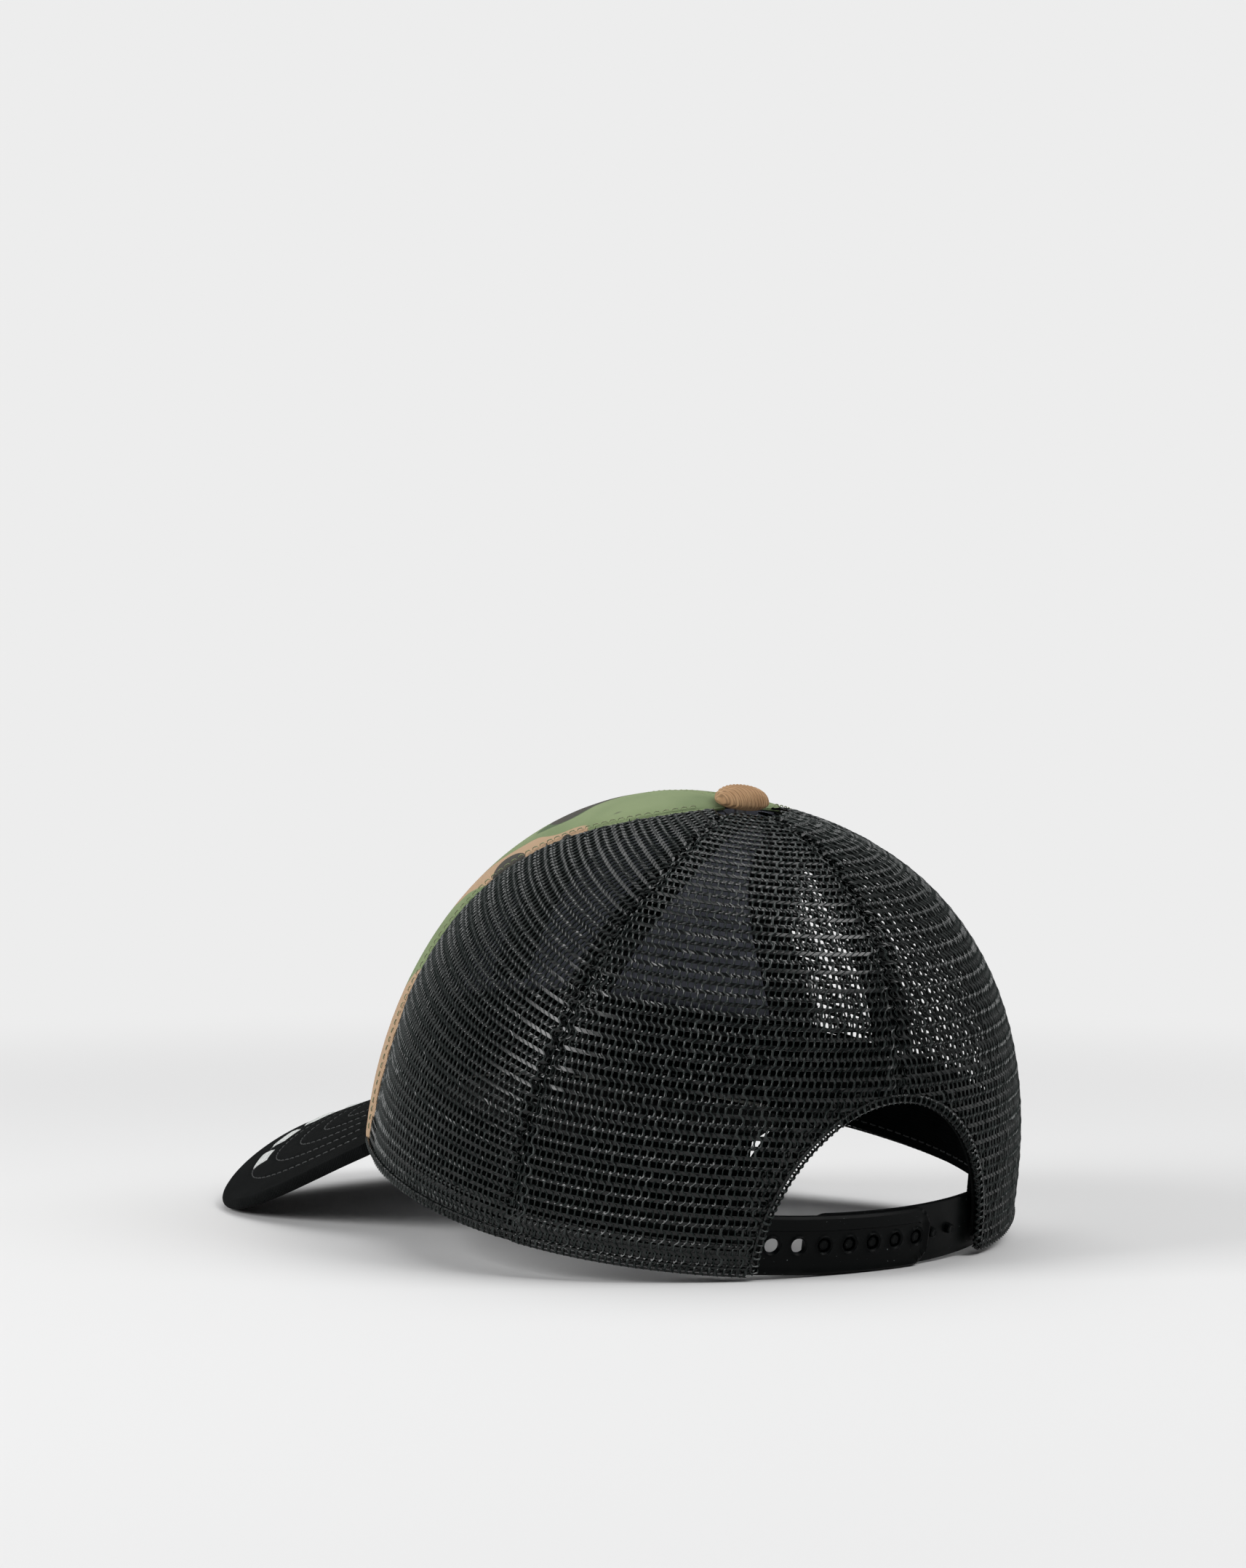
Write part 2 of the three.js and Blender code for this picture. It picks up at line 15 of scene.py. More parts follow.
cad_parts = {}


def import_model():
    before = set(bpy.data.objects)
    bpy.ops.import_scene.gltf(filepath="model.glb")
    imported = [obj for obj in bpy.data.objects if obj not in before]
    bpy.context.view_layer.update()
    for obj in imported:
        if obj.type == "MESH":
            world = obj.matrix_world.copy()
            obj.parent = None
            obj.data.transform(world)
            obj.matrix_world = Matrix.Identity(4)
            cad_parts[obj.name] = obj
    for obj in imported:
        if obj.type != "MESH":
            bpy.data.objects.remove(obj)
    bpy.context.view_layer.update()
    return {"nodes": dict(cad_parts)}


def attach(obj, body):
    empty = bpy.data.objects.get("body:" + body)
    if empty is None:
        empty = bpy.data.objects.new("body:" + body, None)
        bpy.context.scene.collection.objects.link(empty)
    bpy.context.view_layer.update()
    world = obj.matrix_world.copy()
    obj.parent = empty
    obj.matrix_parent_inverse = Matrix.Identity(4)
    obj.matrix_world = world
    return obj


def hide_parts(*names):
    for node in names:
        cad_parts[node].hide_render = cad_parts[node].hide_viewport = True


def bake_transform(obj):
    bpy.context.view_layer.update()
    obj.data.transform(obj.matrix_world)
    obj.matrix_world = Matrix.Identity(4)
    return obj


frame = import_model()

# ---------- the CAD part's dimensions ----------
HALF_LENGTH = 95.0
HALF_WIDTH = 88.4
REAR_FULLNESS = 0.148
OVAL_SHIFT = 3.1
CROWN_HEIGHT = 106.0
APEX_SHIFT = 12.7
FRONT_ROUNDNESS = 2.39
SIDE_ROUNDNESS = 1.79
REAR_ROUNDNESS = 2.28
REST_TILT = math.radians(10.8)
REST_SHIFT = np.array([0.0, 21.521, 19.130])

FRONT_SEAM = 65.0
FRONT_SEAM_WAIST = 9.0
FRONT_SEAM_WAIST_FROM = 0.1
FRONT_SEAM_WAIST_TO = 0.7
FRONT_SEAM_SPREAD = 36.0
SIDE_SEAM = 116.9
SIDE_SEAM_SPREAD = 8.0
TWILL_THICK = 1.2
LINING_INSET = 1.5
LINING_THICK = 0.8
WALL_THICK = 2.6
FRONT_TAPE_INSET = 3.2
MESH_TAPE_INSET = 1.9
TAPE_WIDTH = 13.0
SWEATBAND_HEIGHT = 27.0
SWEATBAND_RISE = 8.0
SWEATBAND_END = 155.5
SWEATBAND_INSET = 3.8
REAR_FROM = 120.0          # the rear wall lies between these thetas
REAR_TO = 240.0
HALVINGS = 36
ARCH_HALF_WIDTH = 38.0
ARCH_HEIGHT = 44.6

VISOR_ROOT = 65.5
VISOR_REACH = 107.0
VISOR_SQUARENESS = 0.81
VISOR_BULGE = 10.0
VISOR_ARCH = 0.005
VISOR_SLOPE = 0.49
VISOR_TUCK = 3.2
VISOR_THICK = 3.4

STRAP_HEIGHT = 15.6
STRAP_MIDDLE = 6.7
STRAP_THICK = 1.3
STRAP_RING = 0.06
SNAP_START = 160.5
SNAP_PITCH = 4.36
HOLE_COUNT = 7
HOLE_RADIUS = 1.95
PEG_RADIUS = 1.3
FIRST_PEG = 2
OUTER_STRAP_INSET = 2.2
INNER_STRAP_INSET = 3.9
STRAP_ROOT = 158.5
STRAP_TIP = 3.0
TAB_END = 137.0
STRAP_END_RADIUS = 6.0
BUTTON_RADIUS = 7.4
BUTTON_HEIGHT = 4.1
BUTTON_BASE = 0.5


def running_length(points):
    steps = np.linalg.norm(np.diff(points, axis=0), axis=1)
    return np.concatenate([[0], np.cumsum(steps)])


# ---------- surfaces, as in the CAD part ----------
def oval_x(theta):
    t = np.radians(theta)
    return HALF_WIDTH * np.sin(t) * (1 - REAR_FULLNESS * np.cos(t))


def oval_y(theta):
    return -HALF_LENGTH * np.cos(np.radians(theta)) + OVAL_SHIFT


def roundness(theta):
    front = (1 + np.cos(np.radians(theta))) / 2
    rear = 1 - front
    return (
        FRONT_ROUNDNESS * front**2
        + REAR_ROUNDNESS * rear**2
        + 2 * SIDE_ROUNDNESS * front * rear
    )


def crown_surface(theta, h):
    theta, h = np.broadcast_arrays(np.asarray(theta, float), np.asarray(h, float))
    power = roundness(theta)
    low = np.clip(h, 0, 1)
    ring = np.maximum(1 - low**power, 0) ** (1 / power)
    x = oval_x(theta) * ring
    y = (oval_y(theta) - OVAL_SHIFT) * ring + OVAL_SHIFT + APEX_SHIFT * low**1.5
    return np.stack([x, y, CROWN_HEIGHT * h], axis=-1)


def unit(v):
    return v / np.maximum(np.linalg.norm(v, axis=-1, keepdims=True), 1e-12)


def crown_normal(theta, h):
    h = np.clip(np.asarray(h, float), 0, 0.9995)
    step = np.minimum(0.004, (1 - h) / 3)
    low = np.maximum(h - step, 0)
    around = crown_surface(theta + 0.2, h) - crown_surface(theta - 0.2, h)
    up = crown_surface(theta, low + 2 * step) - crown_surface(theta, low)
    return unit(np.cross(around, up))


def crown_point(theta, h, inset):
    inset = np.asarray(inset, float)[..., None]
    return crown_surface(theta, h) - crown_normal(theta, h) * inset


def arc_degrees(theta, h, length):
    step = crown_surface(theta + 1, h) - crown_surface(theta, h)
    return length / np.linalg.norm(step, axis=-1)


def ring_radius(theta, h):
    """Distance from the crown's axis at this height."""
    base = np.hypot(oval_x(theta), oval_y(theta) - OVAL_SHIFT)
    power = roundness(theta)
    return base * np.maximum(1 - np.clip(h, 0, 1) ** power, 0) ** (1 / power)


def height_of_ring(theta, radius):
    base = np.hypot(oval_x(theta), oval_y(theta) - OVAL_SHIFT)
    power = roundness(theta)
    return (1 - (radius / base) ** power) ** (1 / power)


def smooth(x, low, high):
    t = np.clip((x - low) / (high - low), 0, 1)
    return t * t * (3 - 2 * t)


def front_seam(h):
    waist = FRONT_SEAM_WAIST * smooth(h, FRONT_SEAM_WAIST_FROM, FRONT_SEAM_WAIST_TO)
    return FRONT_SEAM - waist + FRONT_SEAM_SPREAD * h**12


def side_seam(h):
    return SIDE_SEAM + SIDE_SEAM_SPREAD * h**4


def rear_theta(x, h):
    """Where the rear wall has this x."""
    x, h = np.broadcast_arrays(np.asarray(x, float), np.asarray(h, float))
    low = np.full(x.shape, REAR_FROM)
    high = np.full(x.shape, REAR_TO)
    for _ in range(HALVINGS):
        middle = (low + high) / 2
        beyond = crown_surface(middle, h)[..., 0] > x
        low = np.where(beyond, middle, low)
        high = np.where(beyond, high, middle)
    return (low + high) / 2


visor_end_x = float(oval_x(VISOR_ROOT))
visor_end_y = float(oval_y(VISOR_ROOT))


def visor_height(x, y):
    return VISOR_ARCH * (visor_end_x**2 - x**2) + VISOR_SLOPE * (y - visor_end_y)


def visor_root(s):
    tuck = VISOR_TUCK * (1 - s**8)
    return crown_point(s * VISOR_ROOT, 0, tuck)[..., :2]


def visor_outline(s):
    across = np.sin(s * np.pi / 2)
    along = np.maximum(np.cos(s * np.pi / 2), 0)
    reach = visor_end_x * np.abs(across) ** VISOR_SQUARENESS
    bulge = 4 * VISOR_BULGE * along * across**2
    x = np.sign(across) * (reach + bulge)
    y = visor_end_y - VISOR_REACH * along**VISOR_SQUARENESS
    return np.stack([x, y], axis=-1)


def visor_normal(x):
    slope = 2 * VISOR_ARCH * x
    n = np.stack([slope, np.full_like(x, -VISOR_SLOPE), np.ones_like(x)], axis=-1)
    return unit(n)


def on_visor(xy, depth):
    """A point of the visor under (x, y), this far below its top surface."""
    x, y = xy[..., 0], xy[..., 1]
    top = np.stack([x, y, visor_height(x, y)], axis=-1)
    return top - visor_normal(x) * np.asarray(depth, float)[..., None]


def base_edge(theta):
    around = np.abs((np.asarray(theta, float) + 180) % 360 - 180)
    root = crown_point(np.minimum(around, VISOR_ROOT), 0, WALL_THICK)
    lift = np.maximum(visor_height(root[..., 0], root[..., 1]) + 0.5, 0)
    return np.where(around > VISOR_ROOT, 0, lift / CROWN_HEIGHT)


def strap_point(theta, z, inset):
    wall = crown_surface(theta, STRAP_RING)
    normal = crown_normal(theta, STRAP_RING) * np.array([1.0, 1.0, 0.0])
    point = wall - unit(normal) * np.asarray(inset, float)[..., None]
    return np.stack([point[..., 0], point[..., 1], z + 0 * point[..., 0]], axis=-1)


def to_row(points):
    """From the cap's frame in millimetres to the row frame in metres."""
    p = np.asarray(points, float)
    c, s = math.cos(REST_TILT), math.sin(REST_TILT)
    y = c * p[..., 1] + s * p[..., 2]
    z = c * p[..., 2] - s * p[..., 1]
    return (np.stack([p[..., 0], y, z], axis=-1) + REST_SHIFT) * 0.001


# ---------- meshes ----------
def build(name, points, faces, material, body="crown", smooth_angle=50):
    """A mesh object from row-frame points and a list of (count, corners) face arrays."""
    mesh = bpy.data.meshes.new(name)
    points = np.asarray(points, np.float32)
    faces = [np.asarray(f, np.int32) for f in faces if len(f)]
    corners = np.concatenate([f.ravel() for f in faces])
    sizes = np.concatenate([np.full(len(f), f.shape[1], np.int32) for f in faces])
    starts = np.concatenate([[0], np.cumsum(sizes)[:-1]]).astype(np.int32)
    mesh.vertices.add(len(points))
    mesh.vertices.foreach_set("co", points.ravel())
    mesh.loops.add(len(corners))
    mesh.loops.foreach_set("vertex_index", corners)
    mesh.polygons.add(len(sizes))
    mesh.polygons.foreach_set("loop_start", starts)
    mesh.update(calc_edges=True)
    mesh.validate()
    mesh.polygons.foreach_set("use_smooth", np.ones(len(mesh.polygons), bool))
    mesh.set_sharp_from_angle(angle=math.radians(smooth_angle))
    mesh.materials.append(material)
    piece = bpy.data.objects.new(name, mesh)
    bpy.context.scene.collection.objects.link(piece)
    if body:
        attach(piece, body)
    return piece


def set_uv(piece, uv):
    """Stores one (u, v) in millimetres for each vertex."""
    layer = piece.data.uv_layers.new(name="fabric")
    index = np.empty(len(piece.data.loops), np.int32)
    piece.data.loops.foreach_get("vertex_index", index)
    layer.data.foreach_set("uv", np.asarray(uv, np.float32)[index].ravel())


def shell(front, back, faces):
    """Faces of a closed shell: the front sheet, the back one, and walls on open edges."""
    count = len(front)
    width = faces.shape[1]
    edges = np.concatenate(
        [faces[:, [k, (k + 1) % width]] for k in range(width)]
    ).astype(np.int64)
    forward = edges[:, 0] * count + edges[:, 1]
    backward = edges[:, 1] * count + edges[:, 0]
    rim = edges[~np.isin(forward, backward)]
    walls = np.column_stack([rim[:, 1], rim[:, 0], rim[:, 0] + count, rim[:, 1] + count])
    points = np.concatenate([front, back])
    return points, [faces, faces[:, ::-1] + count, walls]


def grid_faces(columns, rows):
    """Quads of a (columns + 1) by (rows + 1) grid, counter-clockwise."""
    i, j = np.meshgrid(np.arange(columns), np.arange(rows), indexing="ij")
    a = (i * (rows + 1) + j).ravel()
    b = a + rows + 1
    return np.column_stack([a, b, b + 1, a + 1])


def sheet(name, point, columns, rows, material, thick, body="crown", uv=None):
    """A cloth layer. point(s, t, inset) is its face, sunk by inset."""
    s, t = np.meshgrid(
        np.linspace(0, 1, columns + 1), np.linspace(0, 1, rows + 1), indexing="ij"
    )
    s, t = s.ravel(), t.ravel()
    front = point(s, t, 0.0)
    back = point(s, t, thick)
    points, faces = shell(front, back, grid_faces(columns, rows))
    piece = build(name, to_row(points), faces, material, body)
    if uv is not None:
        flat = uv(s, t)
        set_uv(piece, np.concatenate([flat, flat]))
    return piece


# ---------- materials ----------
class Shader:
    """A short way to write a node material."""

    def __init__(self, name, roughness=0.8, **sockets):
        self.material = bpy.data.materials.new(name)
        self.material.use_nodes = True
        self.tree = self.material.node_tree
        self.surface = self.tree.nodes["Principled BSDF"]
        self.surface.inputs["Roughness"].default_value = roughness
        for socket, value in sockets.items():
            self.surface.inputs[socket.replace("_", " ")].default_value = value

    def node(self, kind, inputs=None, **settings):
        node = self.tree.nodes.new(kind)
        for key, value in settings.items():
            setattr(node, key, value)
        for key, value in (inputs or {}).items():
            self.put(node.inputs[key], value)
        return node

    def put(self, socket, value):
        if isinstance(value, bpy.types.NodeSocket):
            self.tree.links.new(value, socket)
        else:
            socket.default_value = value

    def math(self, operation, *values):
        node = self.node("ShaderNodeMath", operation=operation)
        for socket, value in zip(node.inputs, values):
            self.put(socket, value)
        return node.outputs[0]

    def place(self):
        return self.node("ShaderNodeTexCoord").outputs["Object"]

    def cloth(self):
        return self.node("ShaderNodeUVMap", uv_map="fabric").outputs["UV"]

    def scaled(self, vector, scale, turn=(0, 0, 0), shift=(0, 0, 0)):
        sockets = {"Vector": vector, "Scale": scale, "Rotation": turn, "Location": shift}
        return self.node("ShaderNodeMapping", sockets).outputs[0]

    def noise(self, vector, scale, detail=2.0, roughness=0.5, distortion=0.0):
        sockets = {"Vector": vector, "Scale": scale, "Detail": detail}
        sockets |= {"Roughness": roughness, "Distortion": distortion}
        return self.node("ShaderNodeTexNoise", sockets).outputs["Fac"]

    def wave(self, vector, scale, direction, distortion):
        sockets = {"Vector": vector, "Scale": scale, "Distortion": distortion}
        return self.node("ShaderNodeTexWave", sockets, bands_direction=direction).outputs["Fac"]

    def between(self, value, low, high, out_low=0.0, out_high=1.0):
        sockets = {"Value": value, "From Min": low, "From Max": high}
        sockets |= {"To Min": out_low, "To Max": out_high}
        return self.node("ShaderNodeMapRange", sockets, interpolation_type="SMOOTHSTEP").outputs[0]

    def mix(self, share, first, second):
        node = self.node("ShaderNodeMix", data_type="RGBA")
        self.put(node.inputs["Factor"], share)
        for socket, value in ((node.inputs[6], first), (node.inputs[7], second)):
            self.put(socket, value if isinstance(value, bpy.types.NodeSocket) else colour(value))
        return node.outputs[2]

    def paint(self, value):
        self.put(self.surface.inputs["Base Color"], value)

    def rough(self, value):
        self.put(self.surface.inputs["Roughness"], value)

    def bump(self, height, distance, strength):
        sockets = {"Height": height, "Distance": distance, "Strength": strength}
        self.put(self.surface.inputs["Normal"], self.node("ShaderNodeBump", sockets).outputs[0])


def colour(rgb):
    """A display colour, 0 to 255, as the renderer's linear one."""
    linear = [
        (c / 255 / 12.92) if c / 255 <= 0.04045 else ((c / 255 + 0.055) / 1.055) ** 2.4
        for c in rgb
    ]
    return (*linear, 1.0)


def sheen(shader, weight, roughness, tint):
    shader.surface.inputs["Sheen Weight"].default_value = weight
    shader.surface.inputs["Sheen Roughness"].default_value = roughness
    shader.surface.inputs["Sheen Tint"].default_value = colour(tint)


def twill_height(shader, pitch, angle):
    """Diagonal ribs of a twill, crossed by the finer weft, from 0 to 1."""
    flat = shader.cloth()
    along = shader.scaled(flat, (1, 1, 1), (0, 0, math.radians(angle)))
    ribs = shader.wave(along, 2 * math.pi / (20 * pitch), "X", 0.15)
    weft = shader.wave(flat, 2 * math.pi / (20 * pitch * 0.45), "Y", 0.2)
    return shader.math("MULTIPLY_ADD", weft, 0.3, ribs)


def camo_material():
    m = Shader("camo_twill", 0.86)
    place = m.place()
    bent = m.scaled(place, (1.0, 1.0, 1.5))

    def blobs(shift, scale, level, bias=0.0):
        field = m.noise(m.scaled(bent, (1, 1, 1), shift=shift), scale, 1.2, 0.45, 0.5)
        field = m.math("ADD", field, bias)
        return m.between(field, level - 0.004, level + 0.004)

    apart = m.node("ShaderNodeSeparateXYZ", {"Vector": place})
    height = apart.outputs[2]
    low = m.between(height, 0.100, 0.075)
    beside = m.between(m.math("ABSOLUTE", apart.outputs[0]), 0.056, 0.070)
    high = m.math("SUBTRACT", 1.0, low)
    tan_bias = m.math("MULTIPLY_ADD", beside, 0.22, m.math("MULTIPLY", low, 0.05))
    tan_bias = m.math("MULTIPLY", low, tan_bias)
    dark_bias = m.math("MULTIPLY", low, -0.04)
    shade = m.noise(place, 40.0, 2.0)
    green = m.mix(m.between(shade, 0.35, 0.65), (108, 126, 84), (124, 140, 98))
    face = m.mix(blobs((0.31, 0.17, 0.05), 17.0, 0.545, dark_bias), green, (66, 88, 54))
    face = m.mix(blobs((0.27, 0.82, 0.41), 17.0, 0.600, tan_bias), face, (176, 146, 116))
    black_bias = m.math("MULTIPLY_ADD", high, 0.09, -0.04)
    face = m.mix(blobs((0.52, 0.23, 0.84), 30.0, 0.60, black_bias), face, (46, 42, 38))
    weave = twill_height(m, 0.55, 38)
    face = m.mix(m.between(weave, 0.0, 1.3, 0.16, 0.0), face, (40, 44, 30))
    m.paint(face)
    m.bump(weave, 0.00012, 0.6)
    sheen(m, 0.1, 0.5, (230, 230, 210))
    return m.material


def yarn_material():
    m = Shader("black_mesh", 0.34, Specular_IOR_Level=0.42)
    place = m.place()
    fibre = m.noise(place, 2600.0, 1.0)
    m.paint(m.mix(m.between(fibre, 0.35, 0.65), (17, 23, 22), (34, 42, 40)))
    m.rough(m.between(fibre, 0.3, 0.7, 0.30, 0.42))
    m.bump(fibre, 0.00004, 0.4)
    return m.material


def film_material():
    """The flat patches between the net's cords."""
    m = Shader("black_mesh_patch", 0.24, Specular_IOR_Level=0.36)
    place = m.place()
    fibre = m.noise(place, 1400.0, 1.0)
    m.paint(m.mix(m.between(fibre, 0.35, 0.65), (3, 5, 5), (8, 11, 11)))
    m.rough(m.between(m.noise(place, 90.0, 1.0), 0.3, 0.7, 0.2, 0.3))
    m.bump(fibre, 0.00003, 0.3)
    return m.material


def cloth_material(
    name, base, light, roughness, pitch, angle, depth=0.0001, sheen_weight=0.03, gloss=0.2
):
    m = Shader(name, roughness, Specular_IOR_Level=gloss)
    weave = twill_height(m, pitch, angle)
    mottle = m.noise(m.place(), 180.0, 3.0)
    tone = m.mix(m.between(mottle, 0.35, 0.7), base, light)
    dark = tuple(0.55 * c for c in base)
    m.paint(m.mix(m.between(weave, 0.1, 1.1, 0.5, 0.0), tone, dark))
    m.bump(weave, depth, 0.7)
    sheen(m, sheen_weight, 0.5, (210, 215, 220))
    return m.material


def thread_material(name, base, light):
    m = Shader(name, 0.5)
    twist = m.noise(m.place(), 3000.0, 1.0)
    m.paint(m.mix(m.between(twist, 0.35, 0.65), base, light))
    m.bump(twist, 0.00005, 0.5)
    return m.material


def plastic_material():
    m = Shader("strap_plastic", 0.42, Specular_IOR_Level=0.08)
    place = m.place()
    speck = m.noise(place, 1500.0, 2.0, 0.6)
    haze = m.noise(place, 90.0, 3.0)
    tone = m.mix(m.between(haze, 0.35, 0.7), (2, 4, 4), (6, 8, 8))
    m.paint(m.mix(m.between(speck, 0.735, 0.76), tone, (120, 128, 128)))
    m.rough(m.between(haze, 0.3, 0.7, 0.36, 0.5))
    m.bump(m.noise(place, 700.0, 2.0), 0.00003, 0.35)
    return m.material


def steel_material():
    m = Shader("button_steel", 0.38, Metallic=1.0)
    scratch = m.noise(m.scaled(m.place(), (1, 1, 8)), 500.0, 3.0)
    m.paint(m.mix(scratch, (150, 150, 152), (186, 186, 188)))
    m.rough(m.between(scratch, 0.3, 0.7, 0.28, 0.5))
    return m.material


CAMO = camo_material()
YARN = yarn_material()
FILM = film_material()
LINING = cloth_material("grey_lining", (150, 153, 168), (164, 167, 182), 0.85, 0.5, 0, 0.00006)
TAPE = cloth_material("seam_tape", (8, 10, 10), (13, 15, 15), 0.75, 0.9, 45, 0.00012, 0.01, 0.06)
BAND = cloth_material("sweatband_cloth", (5, 7, 7), (9, 11, 11), 0.9, 0.8, 90, 0.0001, 0.005, 0.03)
VISOR = cloth_material("visor_twill", (7, 9, 9), (13, 15, 15), 0.85, 0.62, 52, 0.00018, 0.01, 0.06)
BOARD = cloth_material("visor_board", (200, 200, 192), (214, 214, 208), 0.6, 2.0, 0)
BUTTON = cloth_material("button_twill", (160, 126, 92), (182, 148, 112), 0.85, 0.5, 0, 0.00005)
DARK_THREAD = thread_material("dark_thread", (22, 24, 24), (42, 46, 46))
GREEN_THREAD = thread_material("green_thread", (98, 108, 76), (134, 140, 104))
WHITE_THREAD = thread_material("white_thread", (168, 171, 170), (206, 208, 206))
PLASTIC = plastic_material()
STEEL = steel_material()


# ---------- the net ----------
PITCH = 1.9            # between cords
ROW = 2.6              # between rows of holes
SWING = 0.64           # a cord's zigzag, in pitches
HOLE_HALF = 0.76       # half a hole's height
CORRUGATION = 0.05     # every second band between rows stands proud
NET_BACK = -0.2         # the net's back face, from its middle surface
NET_INSET = 0.35       # under the crown's outer surface
NET_STOP = 4.8         # net nearer the button's axis than this is left out
LAST_ROW = 56          # the rows end 2.5 to 4 mm short of the button's rim
ALLOWANCE = 6.5        # net turned in beside a seam
FRONT_ALLOWANCE = 9.5
ALLOWANCE_INSET = 1.25
ALLOWANCE_STOP = 11.0
SIDES = np.array([0.0, 0.065, 0.115, 0.885, 0.935])
NARROW = np.array([0.0, 0.065, 0.19, 0.81, 0.935])
CREST = np.array([0.34, 0.22, 0.0, 0.0, 0.22])


def net(name, lay, columns, rows, body="crown", seed=1):
    """A piece of hex net. lay(u, v, n) places fabric points and says which are on it.

    Each cell has one hole between two cords. The cords run straight past the holes and
    zigzag in the bands between the rows.
    """
    first_column, last_column = columns
    first_row, last_row = rows
    local = np.random.default_rng(seed)
    column = np.arange(first_column, last_column + 1)
    row = np.arange(first_row, last_row + 1)
    shift = SWING * (row % 2)
    before = SWING * ((row - 1) % 2)
    levels = []
    for j, here, below in zip(row, shift, before):
        proud = CORRUGATION if j % 2 else -CORRUGATION
        levels.append((j * ROW - ROW / 2, (here + below) / 2, SIDES, proud, 1.0))
        levels.append((j * ROW - HOLE_HALF, here, NARROW, proud * 0.45, 0.85))
        levels.append((j * ROW, here, SIDES, 0.0, 0.75))
        levels.append((j * ROW + HOLE_HALF, here, NARROW, -proud * 0.45, 0.85))
    wander = local.normal(0, 0.035, (len(column), 1))
    us, vs, ns = [], [], []
    for v, move, sides, proud, swell in levels:
        jitter = wander + local.normal(0, 0.03, (len(column), 1))
        us.append(((column[:, None] + sides[None, :] + move + jitter) * PITCH).ravel())
        vs.append(np.full(len(column) * 5, v) + local.normal(0, 0.03))
        ns.append(np.tile(CREST * swell + proud, len(column)))
    us, vs, ns = np.array(us).T, np.array(vs).T, np.array(ns).T
    across, up = us.shape
    front, fine = lay(us, vs, ns)
    back, _ = lay(us, vs, ns * 0 + NET_BACK + np.minimum(ns - CREST[0], 0) * 0.4)
    i, j = np.meshgrid(np.arange(across - 5), np.arange(up - 4), indexing="ij")
    side, level = i % 5, j % 4
    hole = (side == 2) & ((level == 1) | (level == 2))
    centre = fine[(i // 5) * 5 + 2, (j // 4) * 4 + 2] & fine[(i // 5) * 5 + 3, (j // 4) * 4 + 2]
    kept = centre & ~hole
    a = (i * up + j)[kept]
    faces = np.column_stack([a, a + up, a + up + 1, a + 1])
    used, faces = np.unique(faces, return_inverse=True)
    faces = faces.reshape(-1, 4)
    front = front.reshape(-1, 3)[used]
    back = back.reshape(-1, 3)[used]
    points, faces = shell(front, back, faces)
    piece = build(name, to_row(points), faces, YARN, body, 60)
    flat = (side == 2)[kept]
    patches = np.concatenate([flat, flat, np.ones(len(faces[2]), bool)])
    piece.data.materials.append(FILM)
    piece.data.polygons.foreach_set("material_index", patches.astype(np.int32))
    return piece


def gore(left, right, inset, stop, dip=1.0, foot=None, slack=(0.0, 0.0), tilt=0.0):
    """How the net lies on the crown between two seams, its cords along the middle.

    dip sinks it into the seams, slack lets it hang in beside them, and tilt turns the
    rows of holes, more and more towards the button.
    """
    heights = np.linspace(0, 0.9985, 420)
    middle = (left(heights) + right(heights)) / 2
    length = running_length(crown_surface(middle, heights))
    spread = right(heights) - left(heights)
    width = spread / arc_degrees(middle, heights, 1.0)

    def lay(u, v, n):
        points = np.zeros(u.shape + (3,))
        fine = np.zeros(u.shape, bool)
        for k in range(u.shape[1]):
            mean = v[:, k].mean()
            level = v[:, k] - tilt * u[:, k] * mean / length[-1]
            h = np.interp(level, length, heights)
            at_mean = float(np.interp(mean, length, heights))
            start, end = float(left(at_mean)), float(right(at_mean))
            spare = 12 + 30 * at_mean
            theta = np.linspace(start - spare, end + spare, 180)
            arc = running_length(crown_surface(theta, at_mean))
            arc -= np.interp((start + end) / 2, theta, arc)
            narrowing = np.interp(at_mean, heights, width) / np.interp(h, heights, width)
            at = np.interp(u[:, k] * narrowing, arc, theta) - (start + end) / 2
            at = at + (left(h) + right(h)) / 2
            per_mm = arc_degrees(at, h, 1.0)
            from_left = np.abs(at - left(h)) / per_mm
            from_right = np.abs(right(h) - at) / per_mm
            sunk = dip * np.exp(-((np.minimum(from_left, from_right) / 1.5) ** 2))
            hang = 1 - smooth(h, 0.24, 0.42)
            sunk += hang * slack[0] * np.exp(-((from_left / 12) ** 2))
            sunk += hang * slack[1] * np.exp(-((from_right / 12) ** 2))
            place = crown_surface(at, h)
            normal = crown_normal(at, h)
            points[:, k] = place + normal * (n[:, k] - inset - sunk)[:, None]
            points[:, k, 2] += np.minimum(level, 0)
            fine[:, k] = (
                (at > left(h))
                & (at < right(h))
                & (ring_radius(at, h) > stop)
                & (level > -0.2)
                & (h >= base_edge(at) - 0.001)
            )
            if foot is not None:
                x, z = place[:, 0], place[:, 2]
                outside = (x / (ARCH_HALF_WIDTH + foot)) ** 2 + (z / (ARCH_HEIGHT + foot)) ** 2
                fine[:, k] &= outside > 1
        return points, fine

    return lay


def mirrored(seam):
    return lambda h: -seam(h)


def at_back(h):
    return 180.0 + 0 * h


def at_front(h):
    return 0.0 * h


def beside(seam, width):
    """A line on the crown this many millimetres from a seam."""
    return lambda h: seam(h) + arc_degrees(seam(h), h, width)


